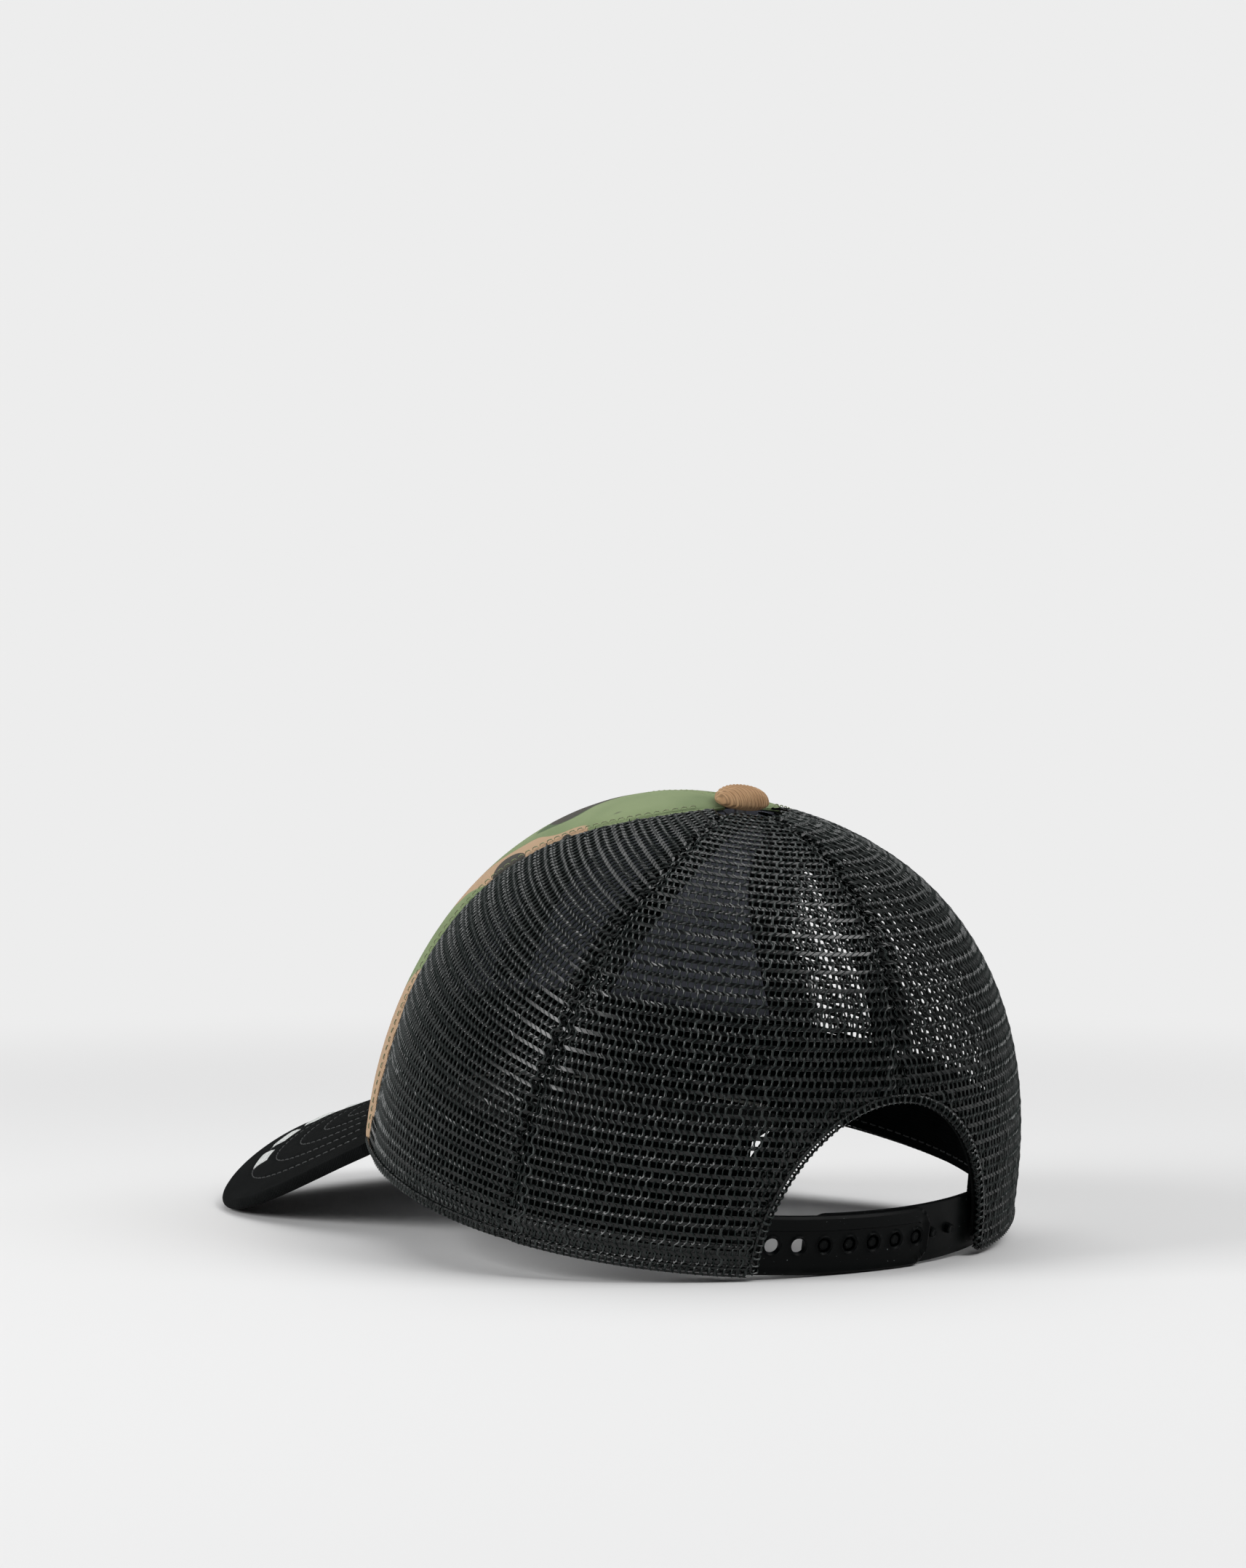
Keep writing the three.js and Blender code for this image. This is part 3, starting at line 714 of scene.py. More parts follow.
def crown_net():
    full = (-34, 34)
    tall = (0, LAST_ROW)
    net_pieces = {
        "side_mesh_left": (front_seam, side_seam, {"slack": (1.1, 0.0), "tilt": 0.5}),
        "side_mesh_right": (
            mirrored(side_seam), mirrored(front_seam), {"slack": (0.0, 1.1), "tilt": -0.5}
        ),
        "rear_mesh_left": (side_seam, at_back, {"foot": 0.8}),
        "rear_mesh_right": (at_back, lambda h: 360 - side_seam(h), {"foot": 0.8}),
    }
    for k, (name, (left, right, hang)) in enumerate(net_pieces.items()):
        lay = gore(left, right, NET_INSET, NET_STOP, **hang)
        piece = net(f"net_{name}", lay, full, tall, seed=1 + k)
        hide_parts(name)
    strips = {
        "side_seam_left": (side_seam, -ALLOWANCE, ALLOWANCE, None),
        "side_seam_right": (mirrored(side_seam), -ALLOWANCE, ALLOWANCE, None),
        "front_seam_left": (front_seam, 0.0, FRONT_ALLOWANCE, None),
        "front_seam_right": (mirrored(front_seam), -FRONT_ALLOWANCE, 0.0, None),
        "rear_seam": (at_back, -ALLOWANCE, ALLOWANCE, 1.0),
    }
    for k, (name, (seam, low, high, foot)) in enumerate(strips.items()):
        ends = beside(seam, low), beside(seam, high)
        lay = gore(*ends, ALLOWANCE_INSET, ALLOWANCE_STOP, 0.0, foot)
        piece = net(f"allowance_{name}", lay, (-5, 5), tall, seed=20 + k)


def fold(place, turn_radius, reach_out):
    """Net folded round an edge. place(u, g, inset) is a point g in from the edge."""

    def lay(u, v, n):
        r = turn_radius
        around = np.clip(v / (math.pi * r), 0, 1) * math.pi
        inside = np.maximum(v - math.pi * r, 0)
        outside = np.maximum(-v, 0)
        rise = outside + inside - r * np.sin(around)
        inset = r * (1 - np.cos(around)) - 0.1
        rise = rise - n * np.sin(around)
        inset = inset - n * np.cos(around)
        fine = (v > -reach_out) & (v < math.pi * r + 9.5)
        return place(u, rise, inset), fine

    return lay


def base_place(u, g, inset):
    theta = np.interp(u, base_arc, base_theta)
    return crown_point(theta, np.clip(g, 0, None) / CROWN_HEIGHT, inset) + np.stack(
        [0 * g, 0 * g, np.minimum(g, 0)], axis=-1
    )


def mirrored_base(u, g, inset):
    return base_place(u, g, inset) * np.array([-1.0, 1.0, 1.0])


def arch_place(u, g, inset):
    turn = np.interp(u, arch_arc, arch_turn)
    x = (ARCH_HALF_WIDTH + g) * np.cos(turn)
    h = (ARCH_HEIGHT + g) * np.sin(turn) / CROWN_HEIGHT
    point = crown_point(rear_theta(x, np.maximum(h, 0)), np.maximum(h, 0), inset)
    point[..., 2] += np.minimum(h, 0) * CROWN_HEIGHT
    return point


arch_foot = float(rear_theta(ARCH_HALF_WIDTH, 0.0))
base_theta = np.linspace(VISOR_ROOT - 1.5, arch_foot + 0.3, 200)
base_arc = running_length(crown_surface(base_theta, 0.0))
arch_turn = np.linspace(0.0, math.pi, 300)
arch_line = crown_surface(
    rear_theta(ARCH_HALF_WIDTH * np.cos(arch_turn), ARCH_HEIGHT * np.sin(arch_turn) / CROWN_HEIGHT),
    ARCH_HEIGHT * np.sin(arch_turn) / CROWN_HEIGHT,
)
arch_arc = running_length(arch_line)


def hems():
    count = int(base_arc[-1] / PITCH)
    left = net("hem_left", fold(base_place, 0.5, 1.2), (0, count), (-1, 4), seed=31)
    right = net("hem_right", fold(mirrored_base, 0.5, 1.2), (0, count), (-1, 4), seed=32)
    right.data.flip_normals()
    around = int(arch_arc[-1] / PITCH)
    arch = net("hem_arch", fold(arch_place, 0.9, 2.4), (0, around), (-1, 4), seed=33)


# ---------- stitches ----------
STITCH_GAP = 0.7


def stitches(name, line, normals, material, radius=0.24, lift=0.1, length=2.5):
    """Thread lying in separate stitches along a line of points."""
    gap = STITCH_GAP
    run = running_length(line)
    count = max(int((run[-1] - gap) / (length + gap)), 1)
    begin = gap / 2 + np.arange(count) * (length + gap)
    share = np.array([0.0, 0.12, 0.5, 0.88, 1.0])
    rise = np.array([-0.45, 0.0, lift, 0.0, -0.45])
    at = begin[:, None] + share[None, :] * length
    centre = np.stack([np.interp(at, run, line[:, k]) for k in range(3)], axis=-1)
    normal = unit(np.stack([np.interp(at, run, normals[:, k]) for k in range(3)], axis=-1))
    ahead = unit(np.roll(centre, -1, axis=1) - centre)
    ahead[:, -1] = ahead[:, -2]
    side = unit(np.cross(ahead, normal))
    centre = centre + normal * rise[None, :, None]
    turn = np.arange(6) / 6 * 2 * math.pi
    ring = (
        side[:, :, None, :] * np.cos(turn)[None, None, :, None]
        + normal[:, :, None, :] * np.sin(turn)[None, None, :, None]
    ) * radius
    points = (centre[:, :, None, :] + ring).reshape(-1, 3)
    corners = [(k * 6 + m, k * 6 + (m + 1) % 6) for k in range(4) for m in range(6)]
    quads = [[a, a + 6, b + 6, b] for a, b in corners]
    caps = [list(range(6)), list(range(29, 23, -1))]
    offset = (np.arange(count) * 30)[:, None, None]
    quads = (np.array(quads)[None] + offset).reshape(-1, 4)
    caps = (np.array(caps)[None] + offset).reshape(-1, 6)
    return build(name, to_row(points), [quads, caps], material)


# ---------- front panels, lining, tapes and sweatband ----------
def panel_place(left, right, inset, low_gap=0.0, stop=5.5, pucker=0.0, sink=(0.0, 0.0)):
    """How a cloth panel lies between two seams; sink draws it in beside each of them."""

    def point(s, t, extra):
        low = base_edge(left(0) + (right(0) - left(0)) * s) + low_gap
        high = height_of_ring(left(1.0) + (right(1.0) - left(1.0)) * s, stop)
        h = low + (high - low) * (1 - (1 - t) ** 1.7)
        gap = arc_degrees((left(h) + right(h)) / 2, h, 0.12)
        start, end = left(h) + gap, right(h) - gap
        theta = start + (end - start) * s
        width = (end - start) / arc_degrees(theta, h, 1.0)
        near = np.minimum(s, 1 - s) * width
        sunk = 0.9 * np.exp(-((near / 1.1) ** 2))
        drawn = sink[0] * np.exp(-((s * width / 4) ** 2))
        drawn = drawn + sink[1] * np.exp(-(((1 - s) * width / 4) ** 2))
        sunk = sunk + drawn * smooth(h, 0.3, 0.45)
        ripple = pucker * np.exp(-near / 7) * np.sin(h * 95 + 3 * np.sin(h * 21))
        return crown_point(theta, h, inset + extra + sunk * (extra == 0) - ripple)

    return point


def crown_uv(left, right):
    def flat(s, t):
        theta = left(0) + (right(0) - left(0)) * s
        return np.column_stack([theta * 1.6, t * 130.0])

    return flat


def front_panels():
    pairs = (
        ("left", at_front, front_seam, (0.0, 0.9)),
        ("right", mirrored(front_seam), at_front, (0.9, 0.0)),
    )
    for side, left, right, sink in pairs:
        flat = crown_uv(left, right)
        outer = panel_place(left, right, 0.0, low_gap=-0.016, pucker=0.16, sink=sink)
        panel = sheet(f"camo_panel_{side}", outer, 90, 150, CAMO, TWILL_THICK, uv=flat)
        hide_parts(f"front_panel_{side}")
        inner = panel_place(left, right, LINING_INSET, low_gap=-0.012)
        lining = sheet(f"lining_{side}", inner, 60, 90, LINING, LINING_THICK, uv=flat)
        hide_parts(f"front_lining_{side}")


def tape_strip(name, node, seam, inset, bottom):
    def point(s, t, extra):
        high = height_of_ring(seam(1.0), 12.0)
        h = bottom + (high - bottom) * (1 - (1 - t) ** 1.7)
        theta = seam(h)
        width = np.minimum(TAPE_WIDTH, 0.84 * ring_radius(theta, h))
        half = arc_degrees(theta, h, width / 2)
        swell = 0.25 * np.cos((s - 0.5) * 2 * math.pi) ** 2
        return crown_point(theta + (2 * s - 1) * half, h, inset + extra - swell + 0.1)

    piece = sheet(
        name, point, 14, 110, TAPE, 0.5,
        uv=lambda s, t: np.column_stack([s * 13.0, t * 120.0]),
    )
    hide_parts(node)
    h = np.linspace(bottom + 0.01, float(height_of_ring(seam(1.0), 13.0)), 200)
    for side in (-1, 1):
        width = np.minimum(TAPE_WIDTH, 0.84 * ring_radius(seam(h), h)) / 2 - 1.6
        theta = seam(h) + side * arc_degrees(seam(h), h, width)
        line = crown_point(theta, h, inset + 0.55)
        row = stitches(
            f"{name}_stitches_{'a' if side < 0 else 'b'}",
            line, -crown_normal(theta, h), DARK_THREAD, lift=0.14,
        )


def tapes():
    top = (SWEATBAND_HEIGHT + 1) / CROWN_HEIGHT
    rear = (ARCH_HEIGHT + 12.2) / CROWN_HEIGHT
    rows = (
        ("front_centre_tape", at_front, FRONT_TAPE_INSET, top + 0.04),
        ("front_seam_tape_left", front_seam, FRONT_TAPE_INSET, top),
        ("front_seam_tape_right", mirrored(front_seam), FRONT_TAPE_INSET, top),
        ("side_seam_tape_left", side_seam, MESH_TAPE_INSET, top),
        ("side_seam_tape_right", mirrored(side_seam), MESH_TAPE_INSET, top),
        ("rear_seam_tape", at_back, MESH_TAPE_INSET, rear),
    )
    for node, seam, inset, bottom in rows:
        tape_strip(f"cloth_{node}", node, seam, inset, bottom)


def sweatband_height(theta):
    """The band grows taller towards the rear."""
    return SWEATBAND_HEIGHT + SWEATBAND_RISE * smooth(np.abs(theta), 112, 148)


def sweatband_inset(theta):
    """The band goes further in at the rear, where it covers the straps' tabs."""
    return SWEATBAND_INSET + 1.9 * smooth(np.abs(theta), 118, 136)


def sweatband():
    def point(s, t, extra):
        theta = (2 * s - 1) * SWEATBAND_END
        low = base_edge(theta) + 0.006 - 0.02 * (np.abs(theta) < VISOR_ROOT)
        h = low + t * sweatband_height(theta) / CROWN_HEIGHT
        swell = 0.5 * np.sin(t * math.pi) + 0.15 * np.sin(theta * 0.9) * np.sin(t * math.pi)
        return crown_point(theta, h, sweatband_inset(theta) + extra + swell * (extra > 0) - 0.2)

    band = sheet(
        "sweatband_cloth", point, 260, 26, BAND, 1.4,
        uv=lambda s, t: np.column_stack([s * 500.0, t * 27.0]),
    )
    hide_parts("sweatband")
    theta = np.linspace(-SWEATBAND_END + 1, SWEATBAND_END - 1, 400)
    for k, level in enumerate((2.6, sweatband_height(theta) - 2.4)):
        h = base_edge(theta) + 0.006 + level / CROWN_HEIGHT
        line = crown_point(theta, h, sweatband_inset(theta) + 1.4)
        row = stitches(
            f"sweatband_stitches_{k}", line, -crown_normal(theta, h), DARK_THREAD, lift=0.2
        )


BINDING_INSET = 2.3
BINDING_OVERHANG = 0.6     # past the arch's edge
BINDING_WIDTH = 11.4


def round_arch(turn, grow):
    """theta and h of a line round the arch, this far outside its edge."""
    x = (ARCH_HALF_WIDTH + grow) * np.cos(turn)
    h = (ARCH_HEIGHT + grow) * np.sin(turn) / CROWN_HEIGHT
    return rear_theta(x, h), h


def arch_binding():
    def point(s, t, extra):
        turn = (0.02 + 0.96 * s) * math.pi
        theta, h = round_arch(turn, -BINDING_OVERHANG + t * BINDING_WIDTH)
        return crown_point(theta, h, BINDING_INSET + extra)

    piece = sheet(
        "cloth_arch_binding", point, 120, 12, TAPE, 0.5,
        uv=lambda s, t: np.column_stack([t * 10.0, s * 160.0]),
    )
    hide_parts("arch_binding")
    turn = np.linspace(0.03, 0.97, 260) * math.pi
    for k, grow in enumerate((2.4, 9.2)):
        theta, h = round_arch(turn, grow)
        line = crown_point(theta, h, BINDING_INSET + 0.55)
        row = stitches(
            f"arch_stitches_{k}", line, -crown_normal(theta, h), DARK_THREAD, lift=0.14
        )


# ---------- visor ----------
STITCH_ROWS = [8.5 + 6.6 * k for k in range(6)]
GROOVE_DEPTH = 0.34
EDGE_SOFTNESS = 0.9        # how far the rounded rim reaches in, in half thicknesses
outline_points = visor_outline(np.linspace(-1, 1, 700))


def edge_distance(xy):
    flat = xy.reshape(-1, 2)
    best = np.full(len(flat), 1e9)
    for start in range(0, len(outline_points), 50):
        part = outline_points[start : start + 50]
        d = np.hypot(flat[:, None, 0] - part[None, :, 0], flat[:, None, 1] - part[None, :, 1])
        best = np.minimum(best, d.min(axis=1))
    return best.reshape(xy.shape[:-1])


def visor_groove(xy):
    d = edge_distance(xy)
    depth = sum(np.exp(-(((d - row) / 0.75) ** 2)) for row in STITCH_ROWS)
    return GROOVE_DEPTH * np.minimum(depth, 1)


def visor_cover():
    columns, top_rows, edge_rows, under_rows = 260, 130, 10, 50
    s = np.linspace(-0.992, 0.992, columns + 1)
    root, rim = visor_root(s), visor_outline(s)
    reach = np.linalg.norm(rim - root, axis=-1)
    inward = unit(root - rim)
    half = VISOR_THICK / 2
    inset = half * EDGE_SOFTNESS * np.minimum(1, reach / 12)
    across = rim + inward * inset[:, None] - root
    rings = []
    for t in np.linspace(0, 1, top_rows + 1):
        xy = root + across * t
        rings.append(on_visor(xy, visor_groove(xy) - 0.1))
    for k in range(1, edge_rows):
        turn = k / edge_rows * math.pi
        xy = rim + inward * (inset * (1 - np.sin(turn) * 1.1))[:, None]
        rings.append(on_visor(xy, half - (half + 0.1) * math.cos(turn) + 0 * xy[:, 0]))
    for t in np.linspace(1, 0, under_rows + 1):
        xy = root + across * t
        rings.append(on_visor(xy, VISOR_THICK + 0.1 - visor_groove(xy) * 0.8))
    rings = np.array(rings)
    count = len(rings)
    points = rings.transpose(1, 0, 2).reshape(-1, 3)
    i, j = np.meshgrid(np.arange(columns), np.arange(count), indexing="ij")
    a = (i * count + j).ravel()
    b = (i * count + (j + 1) % count).ravel()
    faces = np.column_stack([a, a + count, b + count, b])
    caps = np.array([np.arange(count), columns * count + np.arange(count)[::-1]])
    piece = build("visor_cover", to_row(points), [faces[:, ::-1], caps], VISOR)
    flat = np.column_stack([points[:, 0], points[:, 1] + points[:, 2] * 0.3])
    set_uv(piece, flat)
    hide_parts("visor_top_cover", "visor_under_cover")


BOARD_THICK = 1.6
BOARD_WIDTH = 0.93         # of the visor's
BOARD_REACH = 0.95


def visor_board():
    """The stiffener inside the cover."""

    def point(s, t, extra):
        across = (2 * s - 1) * BOARD_WIDTH
        root, rim = visor_root(across), visor_outline(across)
        xy = root + (rim - root) * (BOARD_REACH * t)[:, None]
        return on_visor(xy, (VISOR_THICK - BOARD_THICK) / 2 + extra)

    piece = sheet(
        "board", point, 80, 20, BOARD, BOARD_THICK,
        uv=lambda s, t: np.column_stack([s * 180.0, t * 75.0]),
    )
    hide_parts("visor_board")


def visor_row(distance):
    """The line on the visor this far inside its outline, in front of the crown."""
    s = np.linspace(-0.9995, 0.9995, 1400)
    rim = visor_outline(s)
    along = unit(np.gradient(rim, axis=0))
    inner = rim + np.stack([-along[:, 1], along[:, 0]], axis=-1) * distance
    around = np.degrees(np.arctan2(inner[:, 0], -(inner[:, 1] - OVAL_SHIFT)))
    wall = np.interp(around, *crown_fence)
    clear = np.hypot(inner[:, 0], inner[:, 1] - OVAL_SHIFT) > wall + 0.4
    far = edge_distance(inner) > distance - 0.25
    return inner[clear & far]


fence_theta = np.linspace(-100, 100, 400)
fence = crown_surface(fence_theta, 0.0)
fence_angle = np.degrees(np.arctan2(fence[:, 0], -(fence[:, 1] - OVAL_SHIFT)))
crown_fence = (fence_angle, np.hypot(fence[:, 0], fence[:, 1] - OVAL_SHIFT))


def visor_threads():
    for k, distance in enumerate(STITCH_ROWS):
        xy = visor_row(distance)
        normal = visor_normal(xy[:, 0])
        row = stitches(
            f"visor_stitches_{k}", on_visor(xy, 0.2 + 0 * xy[:, 0]), normal, DARK_THREAD,
            radius=0.2, lift=0.08,
        )


BARS_EACH_SIDE = 4
BAR_SPACING = 17.0
BAR_LENGTH = 10.0
BAR_WIDTH = 3.8
BAR_ROW = 10.5             # inside the visor's outline
BAR_THREADS = 59 / 3       # raised threads along a bar


def visor_bars():
    """Plain embroidered bars set at an even spacing along the front edge."""
    line = visor_row(BAR_ROW)
    run = running_length(line)
    middle = run[-1] / 2
    points, faces = [], []
    s, t = np.meshgrid(np.linspace(0, 1, 60), np.linspace(0, 1, 7), indexing="ij")
    for k in range(-BARS_EACH_SIDE, BARS_EACH_SIDE + 1):
        at = middle + k * BAR_SPACING + (s - 0.5) * BAR_LENGTH
        xy = np.stack([np.interp(at, run, line[:, 0]), np.interp(at, run, line[:, 1])], axis=-1)
        ahead = unit(np.gradient(xy, axis=0))
        out = np.stack([ahead[..., 1], -ahead[..., 0]], axis=-1)
        xy = xy + out * ((t - 0.5) * BAR_WIDTH)[..., None]
        ribs = 0.09 * np.cos(s * BAR_THREADS * 2 * math.pi)
        dome = np.minimum(np.sin(t * math.pi), np.sin(s * math.pi) * 4).clip(0, 1) ** 0.5
        base = sum(len(p) for p in points)
        front = on_visor(xy, -(0.1 + 0.45 * dome + ribs * dome)).reshape(-1, 3)
        back = on_visor(xy, 0.3 + 0 * s).reshape(-1, 3)
        piece_points, piece_faces = shell(front, back, grid_faces(59, 6)[:, ::-1])
        faces += [f + base for f in piece_faces]
        points.append(piece_points)
    piece = build("visor_bars", to_row(np.concatenate(points)), faces, WHITE_THREAD)


# ---------- snap straps ----------
def strap_outline(length):
    """A straight strap with a rounded far end, lying along x."""
    half = STRAP_HEIGHT / 2
    r = STRAP_END_RADIUS
    lower = [(x, -half) for x in np.arange(0, length - r, 1.2)]
    upper = [(x, half) for x in np.arange(0, length - r, 1.2)][::-1]
    arc = []
    for side, begin in ((-1, -90), (1, 0)):
        for turn in np.linspace(begin, begin + 90, 9):
            a = math.radians(turn)
            arc.append((length - r + r * math.cos(a), side * (half - r) + r * math.sin(a)))
    foot = [(0, z) for z in np.linspace(half, -half, 12)[1:-1]]
    return lower + arc + upper + foot


def past_corner(x, z, length):
    """How far a point lies past the centre of the far end's rounding, both ways."""
    dx = np.maximum(x - (length - STRAP_END_RADIUS), 0)
    dz = np.maximum(np.abs(z) - (STRAP_HEIGHT / 2 - STRAP_END_RADIUS), 0)
    return dx, dz


def inside_strap(x, z, length):
    reach = np.hypot(*past_corner(x, z, length))
    tall = np.abs(z) < STRAP_HEIGHT / 2 + 1e-6
    return tall & (x > -1e-6) & (reach < STRAP_END_RADIUS + 1e-4)


def strap_sheet(length, circles, relief_lines, holes):
    """Triangles of a strap's flat pattern, with its round holes left out."""
    points, edges = [], []

    def ring(loop):
        start = len(points)
        points.extend(loop)
        edges.extend((start + k, start + (k + 1) % len(loop)) for k in range(len(loop)))

    ring(strap_outline(length))
    for x, radius in circles:
        turn = np.linspace(0, 2 * math.pi, 29)[:-1]
        ring([(x + radius * math.cos(a), radius * math.sin(a)) for a in turn])
    for line in relief_lines:
        start = len(points)
        points.extend(line)
        edges.extend((start + k, start + k + 1) for k in range(len(line) - 1))
    for x in np.arange(0.9, length, 0.9):
        for z in np.arange(-STRAP_HEIGHT / 2 + 0.65, STRAP_HEIGHT / 2, 1.3):
            points.append((x, z))
    flat = [Vector((float(x), float(z))) for x, z in points]
    found = delaunay_2d_cdt(flat, edges, [], 0, 1e-4)
    xy = np.array([(p.x, p.y) for p in found[0]])
    triangles = np.array(found[2])
    middle = xy[triangles].mean(axis=1)
    keep = inside_strap(middle[:, 0], middle[:, 1], length)
    for x, radius in holes:
        keep &= np.hypot(middle[:, 0] - x, middle[:, 1]) > radius * 0.985
    triangles = triangles[keep]
    a, b, c = (xy[triangles[:, k]] for k in range(3))
    turn = (b - a)[:, 0] * (c - a)[:, 1] - (b - a)[:, 1] * (c - a)[:, 0]
    triangles[turn < 0] = triangles[turn < 0][:, ::-1]
    used, triangles = np.unique(triangles, return_inverse=True)
    return xy[used], triangles.reshape(-1, 3)


strap_thetas = np.linspace(TAB_END - 4, 200, 700)
strap_run = running_length(strap_point(strap_thetas, 0.0, np.full(700, OUTER_STRAP_INSET)))
strap_zero = float(np.interp(TAB_END, strap_thetas, strap_run))


def strap_along(theta):
    return np.interp(theta, strap_thetas, strap_run) - strap_zero


def strap_theta(along):
    return np.interp(along + strap_zero, strap_run, strap_thetas)


def ridge(distance, place, width):
    """A soft ridge of height 1 at this distance."""
    return np.exp(-(((distance - place) / width) ** 2))


def rim_relief(x, z, centres, radius, height):
    """Raised rims round the holes."""
    total = np.zeros_like(x)
    for centre in centres:
        d = np.hypot(x - centre, z)
        total = np.maximum(total, height * ridge(d - radius, 0.45, 0.3))
    return total


def strap_edge_bead(x, z, length):
    """Distance from the strap's long edges and rounded end, up to the rounding's radius."""
    dx, dz = past_corner(x, z, length)
    r = STRAP_END_RADIUS
    inner = np.where((dx > 0) | (dz > 0), r - np.hypot(dx, dz), r)
    return np.minimum(inner, STRAP_HEIGHT / 2 - np.abs(z))


def hole_strap():
    snaps = strap_along(SNAP_START + SNAP_PITCH * np.arange(HOLE_COUNT))
    length = float(strap_along(SNAP_START + SNAP_PITCH * (HOLE_COUNT - 1) + STRAP_TIP))
    start = snaps[0] - 4.6
    panel_top = 4.1
    circles = [(x, HOLE_RADIUS + grow) for grow in (0.0, 0.45, 0.9) for x in snaps]
    steps = [(x, panel_top) for x in np.arange(start + 2.4, length - 4.0, 0.8)]
    steps_low = [(x, panel_top - 0.3) for x in np.arange(start + 2.2, length - 4.0, 0.8)]
    xy, triangles = strap_sheet(
        length, circles, [steps, steps_low], [(x, HOLE_RADIUS) for x in snaps]
    )
    x, z = xy[:, 0], xy[:, 1]
    bead = strap_edge_bead(x, z, length)
    slant = start + (panel_top - z) * -0.22 + 2.2
    in_panel = (x > slant) & (z < panel_top - 0.15) & (bead > 1.5)
    relief = np.where(in_panel, -0.45, 0.0)
    relief = relief + rim_relief(x, z, snaps, HOLE_RADIUS, 0.42)
    relief = relief + 0.22 * ridge(bead, 0.9, 0.45) * (x > slant - 3)
    relief = np.where(bead < 0.25, -0.35, relief)
    relief = relief - 0.22 * ridge(bead, 2.3, 0.3) * (x > length - 11)
    theta = strap_theta(x)
    front = strap_point(theta, z + STRAP_MIDDLE, OUTER_STRAP_INSET - 0.12 - relief)
    back = strap_point(theta, z + STRAP_MIDDLE, OUTER_STRAP_INSET + STRAP_THICK - 0.02 + 0 * x)
    points, faces = shell(front, back, triangles)
    piece = build("hole_strap_moulded", to_row(points), faces, PLASTIC, None, 35)
    join_strap(piece, "hole_strap", OUTER_STRAP_INSET, 1)


def peg_strap():
    pegs = 360 - (SNAP_START + SNAP_PITCH * np.arange(FIRST_PEG, FIRST_PEG + 7))
    centres = strap_along(pegs)
    length = float(strap_along(360 - (SNAP_START + SNAP_PITCH * FIRST_PEG - STRAP_TIP)))
    rings = (0.45, 0.9, PEG_RADIUS, PEG_RADIUS + 0.12)
    circles = [(x, r) for x in centres for r in rings]
    xy, triangles = strap_sheet(length, circles, [], [])
    x, z = xy[:, 0], xy[:, 1]
    bead = strap_edge_bead(x, z, length)
    relief = np.where(bead < 0.25, -0.35, 0.0)
    relief = relief + 0.12 * ridge(bead, 0.9, 0.45)
    tall = INNER_STRAP_INSET - OUTER_STRAP_INSET - 0.25
    for centre in centres:
        d = np.hypot(x - centre, z)
        dome = tall * np.clip((PEG_RADIUS + 0.1 - d) / 0.12, 0, 1)
        dome = dome - 0.35 * np.clip(0.9 - d, 0, 1) * (d < 1.0)
        relief = np.maximum(relief, dome)
    theta = 360 - strap_theta(x)
    front = strap_point(theta, z + STRAP_MIDDLE, INNER_STRAP_INSET - relief)
    back = strap_point(theta, z + STRAP_MIDDLE, INNER_STRAP_INSET + STRAP_THICK + 0 * x)
    points, faces = shell(front, back, triangles[:, ::-1])
    piece = build("peg_strap_moulded", to_row(points), faces, PLASTIC, None, 35)
    join_strap(piece, "peg_strap", INNER_STRAP_INSET, -1)


def join_strap(piece, body, inset, sign):
    """Works out where the strap would bend beside its sewn tab, though nothing uses it, bakes the
    strap's placement into its mesh and hides the CAD strap and its tab.
    """
    bend = [STRAP_ROOT - 2.0, STRAP_ROOT + 2.0]
    if sign < 0:
        bend = [360 - b for b in bend]
    ends = [to_row(strap_point(b, STRAP_MIDDLE, inset)) for b in bend]
    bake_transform(piece)
    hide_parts(body, f"{body}_tab")


# ---------- button ----------
BUTTON_TUCK = 0.55         # radians that the cover goes round under the widest ring
BUTTON_SKIRT = 3.4


def button_cover():
    around, rows = 160, 56
    turn = np.linspace(0, 2 * math.pi, around + 1)[:-1]
    points = []
    for k in range(rows + 1):
        a = -BUTTON_TUCK + (math.pi / 2 + BUTTON_TUCK) * k / rows
        r = BUTTON_RADIUS * max(math.cos(a), 0.0) ** 0.8 * (1.0 if a > 0 else math.cos(a) ** 1.5)
        z = (BUTTON_HEIGHT if a > 0 else BUTTON_SKIRT) * math.sin(a)
        x = np.cos(turn) * r
        y = np.sin(turn) * r
        far = np.hypot(x + 11.0, y - 3.0)
        rib = 0.13 * np.cos(far * 2 * math.pi / 0.95) * min(1.0, (k + 2) / 8)
        grow = 1 + rib / BUTTON_RADIUS * max(math.cos(a), 0.15)
        points.append(np.column_stack([x * grow, y * grow, z + rib * max(math.sin(a), 0)]))
    points = np.concatenate(points)
    points[:, 2] += BUTTON_BASE
    points += np.array([0, OVAL_SHIFT + APEX_SHIFT, CROWN_HEIGHT])
    i, j = np.meshgrid(np.arange(rows), np.arange(around), indexing="ij")
    a = (i * around + j).ravel()
    b = (i * around + (j + 1) % around).ravel()
    faces = np.column_stack([a, b, b + around, a + around])
    caps = np.array([np.arange(around)[::-1]])
    piece = build("button_cloth", to_row(points), [faces, caps], BUTTON)
    set_uv(piece, points[:, :2])
    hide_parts("button_cover")


# ---------- CAD nodes that stay ----------
def keep_nodes():
    for name in ("button_core", "button_back"):
        mesh = frame["nodes"][name].data
        mesh.materials.clear()
        mesh.materials.append(STEEL)


crown_net()
hems()
front_panels()
tapes()
sweatband()
arch_binding()
visor_cover()
visor_board()
visor_threads()
visor_bars()
hole_strap()
peg_strap()
button_cover()
keep_nodes()


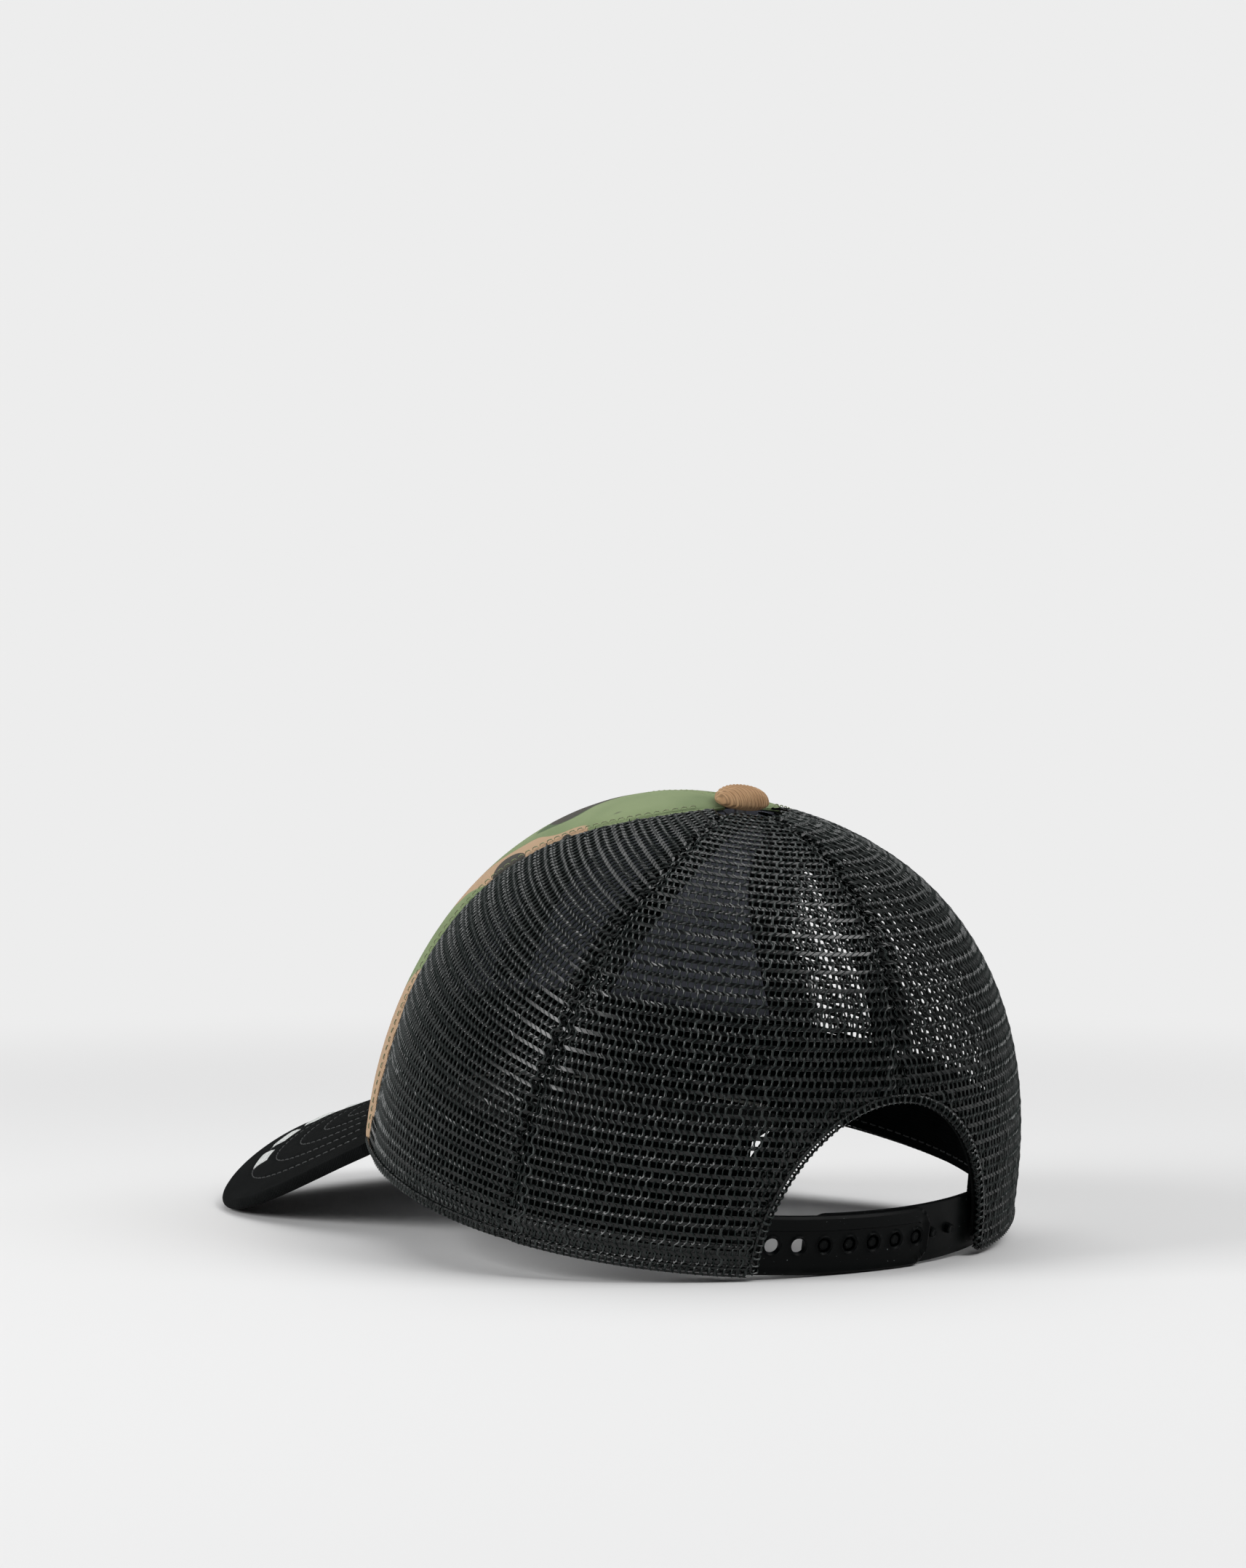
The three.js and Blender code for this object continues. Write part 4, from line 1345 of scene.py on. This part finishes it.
# ---------- topstitching ----------
def topstitch(name, seam, offset, bottom):
    """Green thread on the camo, this far beside a seam, ending 12 mm from the button's axis."""
    h = np.linspace(bottom, float(height_of_ring(seam(1.0), 12.0)), 300)
    theta = seam(h) + arc_degrees(seam(h), h, offset)
    line = crown_point(theta, h, 0.05)
    row = stitches(name, line, crown_normal(theta, h), GREEN_THREAD, radius=0.15, length=1.8)


topstitch("front_topstitch_left", front_seam, -1.5, 0.03)
topstitch("front_topstitch_right", mirrored(front_seam), 1.5, 0.03)
topstitch("centre_topstitch_left", at_front, 2.0, 0.2)
topstitch("centre_topstitch_right", at_front, -2.0, 0.2)


# ---------- floor, light and camera ----------
BACKDROP = (237, 237, 237)
FADE_START = 0.26      # metres from the cap where the floor starts to melt into the backdrop
FADE_END = 0.75
FILL = 0.13            # how brightly the studio's walls light the cap


def stage():
    size = 6.0
    mesh = bpy.data.meshes.new("floor")
    mesh.from_pydata(
        [(-size, -size, 0), (size, -size, 0), (size, size, 0), (-size, size, 0)],
        [],
        [(0, 1, 2, 3)],
    )
    floor = bpy.data.objects.new("floor", mesh)
    bpy.context.scene.collection.objects.link(floor)
    m = Shader("pale_floor", 0.75, Specular_IOR_Level=0.1)
    place = m.place()
    m.paint(m.mix(m.noise(place, 3.0, 2.0), (213, 213, 213), (215, 215, 215)))
    far = m.node("ShaderNodeVectorMath", {0: place}, operation="LENGTH").outputs["Value"]
    glow = m.node("ShaderNodeEmission", {"Color": colour(BACKDROP)}).outputs[0]
    fade = m.between(far, FADE_START, FADE_END)
    join = m.node("ShaderNodeMixShader", {0: fade, 1: m.surface.outputs[0], 2: glow})
    m.put(m.tree.nodes["Material Output"].inputs["Surface"], join.outputs[0])
    mesh.materials.append(m.material)


def world():
    scene = bpy.context.scene
    sky = bpy.data.worlds.new("studio")
    scene.world = sky
    sky.use_nodes = True
    tree = sky.node_tree
    fill = tree.nodes["Background"]
    fill.inputs["Color"].default_value = colour((250, 250, 252))
    fill.inputs["Strength"].default_value = FILL
    seen = tree.nodes.new("ShaderNodeBackground")
    seen.inputs["Color"].default_value = colour(BACKDROP)
    rays = tree.nodes.new("ShaderNodeLightPath")
    join = tree.nodes.new("ShaderNodeMixShader")
    tree.links.new(rays.outputs["Is Camera Ray"], join.inputs[0])
    tree.links.new(fill.outputs[0], join.inputs[1])
    tree.links.new(seen.outputs[0], join.inputs[2])
    tree.links.new(join.outputs[0], tree.nodes["World Output"].inputs["Surface"])
    scene.view_settings.view_transform = "Standard"


def softbox(name, azimuth, elevation, distance, size, power, tint=(255, 255, 255)):
    a, e = math.radians(azimuth), math.radians(elevation)
    back = Vector((math.sin(a) * math.cos(e), -math.cos(a) * math.cos(e), math.sin(e)))
    light = bpy.data.lights.new(name, "AREA")
    light.shape = "RECTANGLE"
    light.size, light.size_y = size
    light.energy = power
    light.color = colour(tint)[:3]
    lamp = bpy.data.objects.new(name, light)
    lamp.location = back * distance + Vector((0, 0, 0.05))
    lamp.rotation_euler = (-back).to_track_quat("-Z", "Y").to_euler()
    bpy.context.scene.collection.objects.link(lamp)


def camera():
    """A metre from the target, aimed above it, so that the cap stands low in the frame."""
    azimuth, elevation = 143.3, 4.98
    aim_up, aim_left = 3.97959, 0.653375
    target = np.array([0.0, 0.0215, 0.0554])
    a, e = math.radians(azimuth), math.radians(elevation)
    back = np.array([math.sin(a) * math.cos(e), -math.cos(a) * math.cos(e), math.sin(e)])
    view = bpy.data.cameras.new("camera")
    view.sensor_fit = "VERTICAL"
    view.sensor_height = 36.0
    view.lens = 81.7013
    view.clip_end = 50.0
    eye = bpy.data.objects.new("camera", view)
    eye.location = Vector(target + back)
    eye.rotation_euler = (math.pi / 2 - e + math.radians(aim_up), 0.0, a + math.radians(aim_left))
    bpy.context.scene.collection.objects.link(eye)
    bpy.context.scene.camera = eye


stage()
world()
softbox("left_softbox", 78, 26, 1.5, (0.7, 0.8), 17.0)
softbox("rear_softbox", 215, 48, 1.7, (1.0, 0.9), 18.0)
softbox("top_softbox", 320, 76, 1.6, (1.7, 1.5), 16.0)
camera()
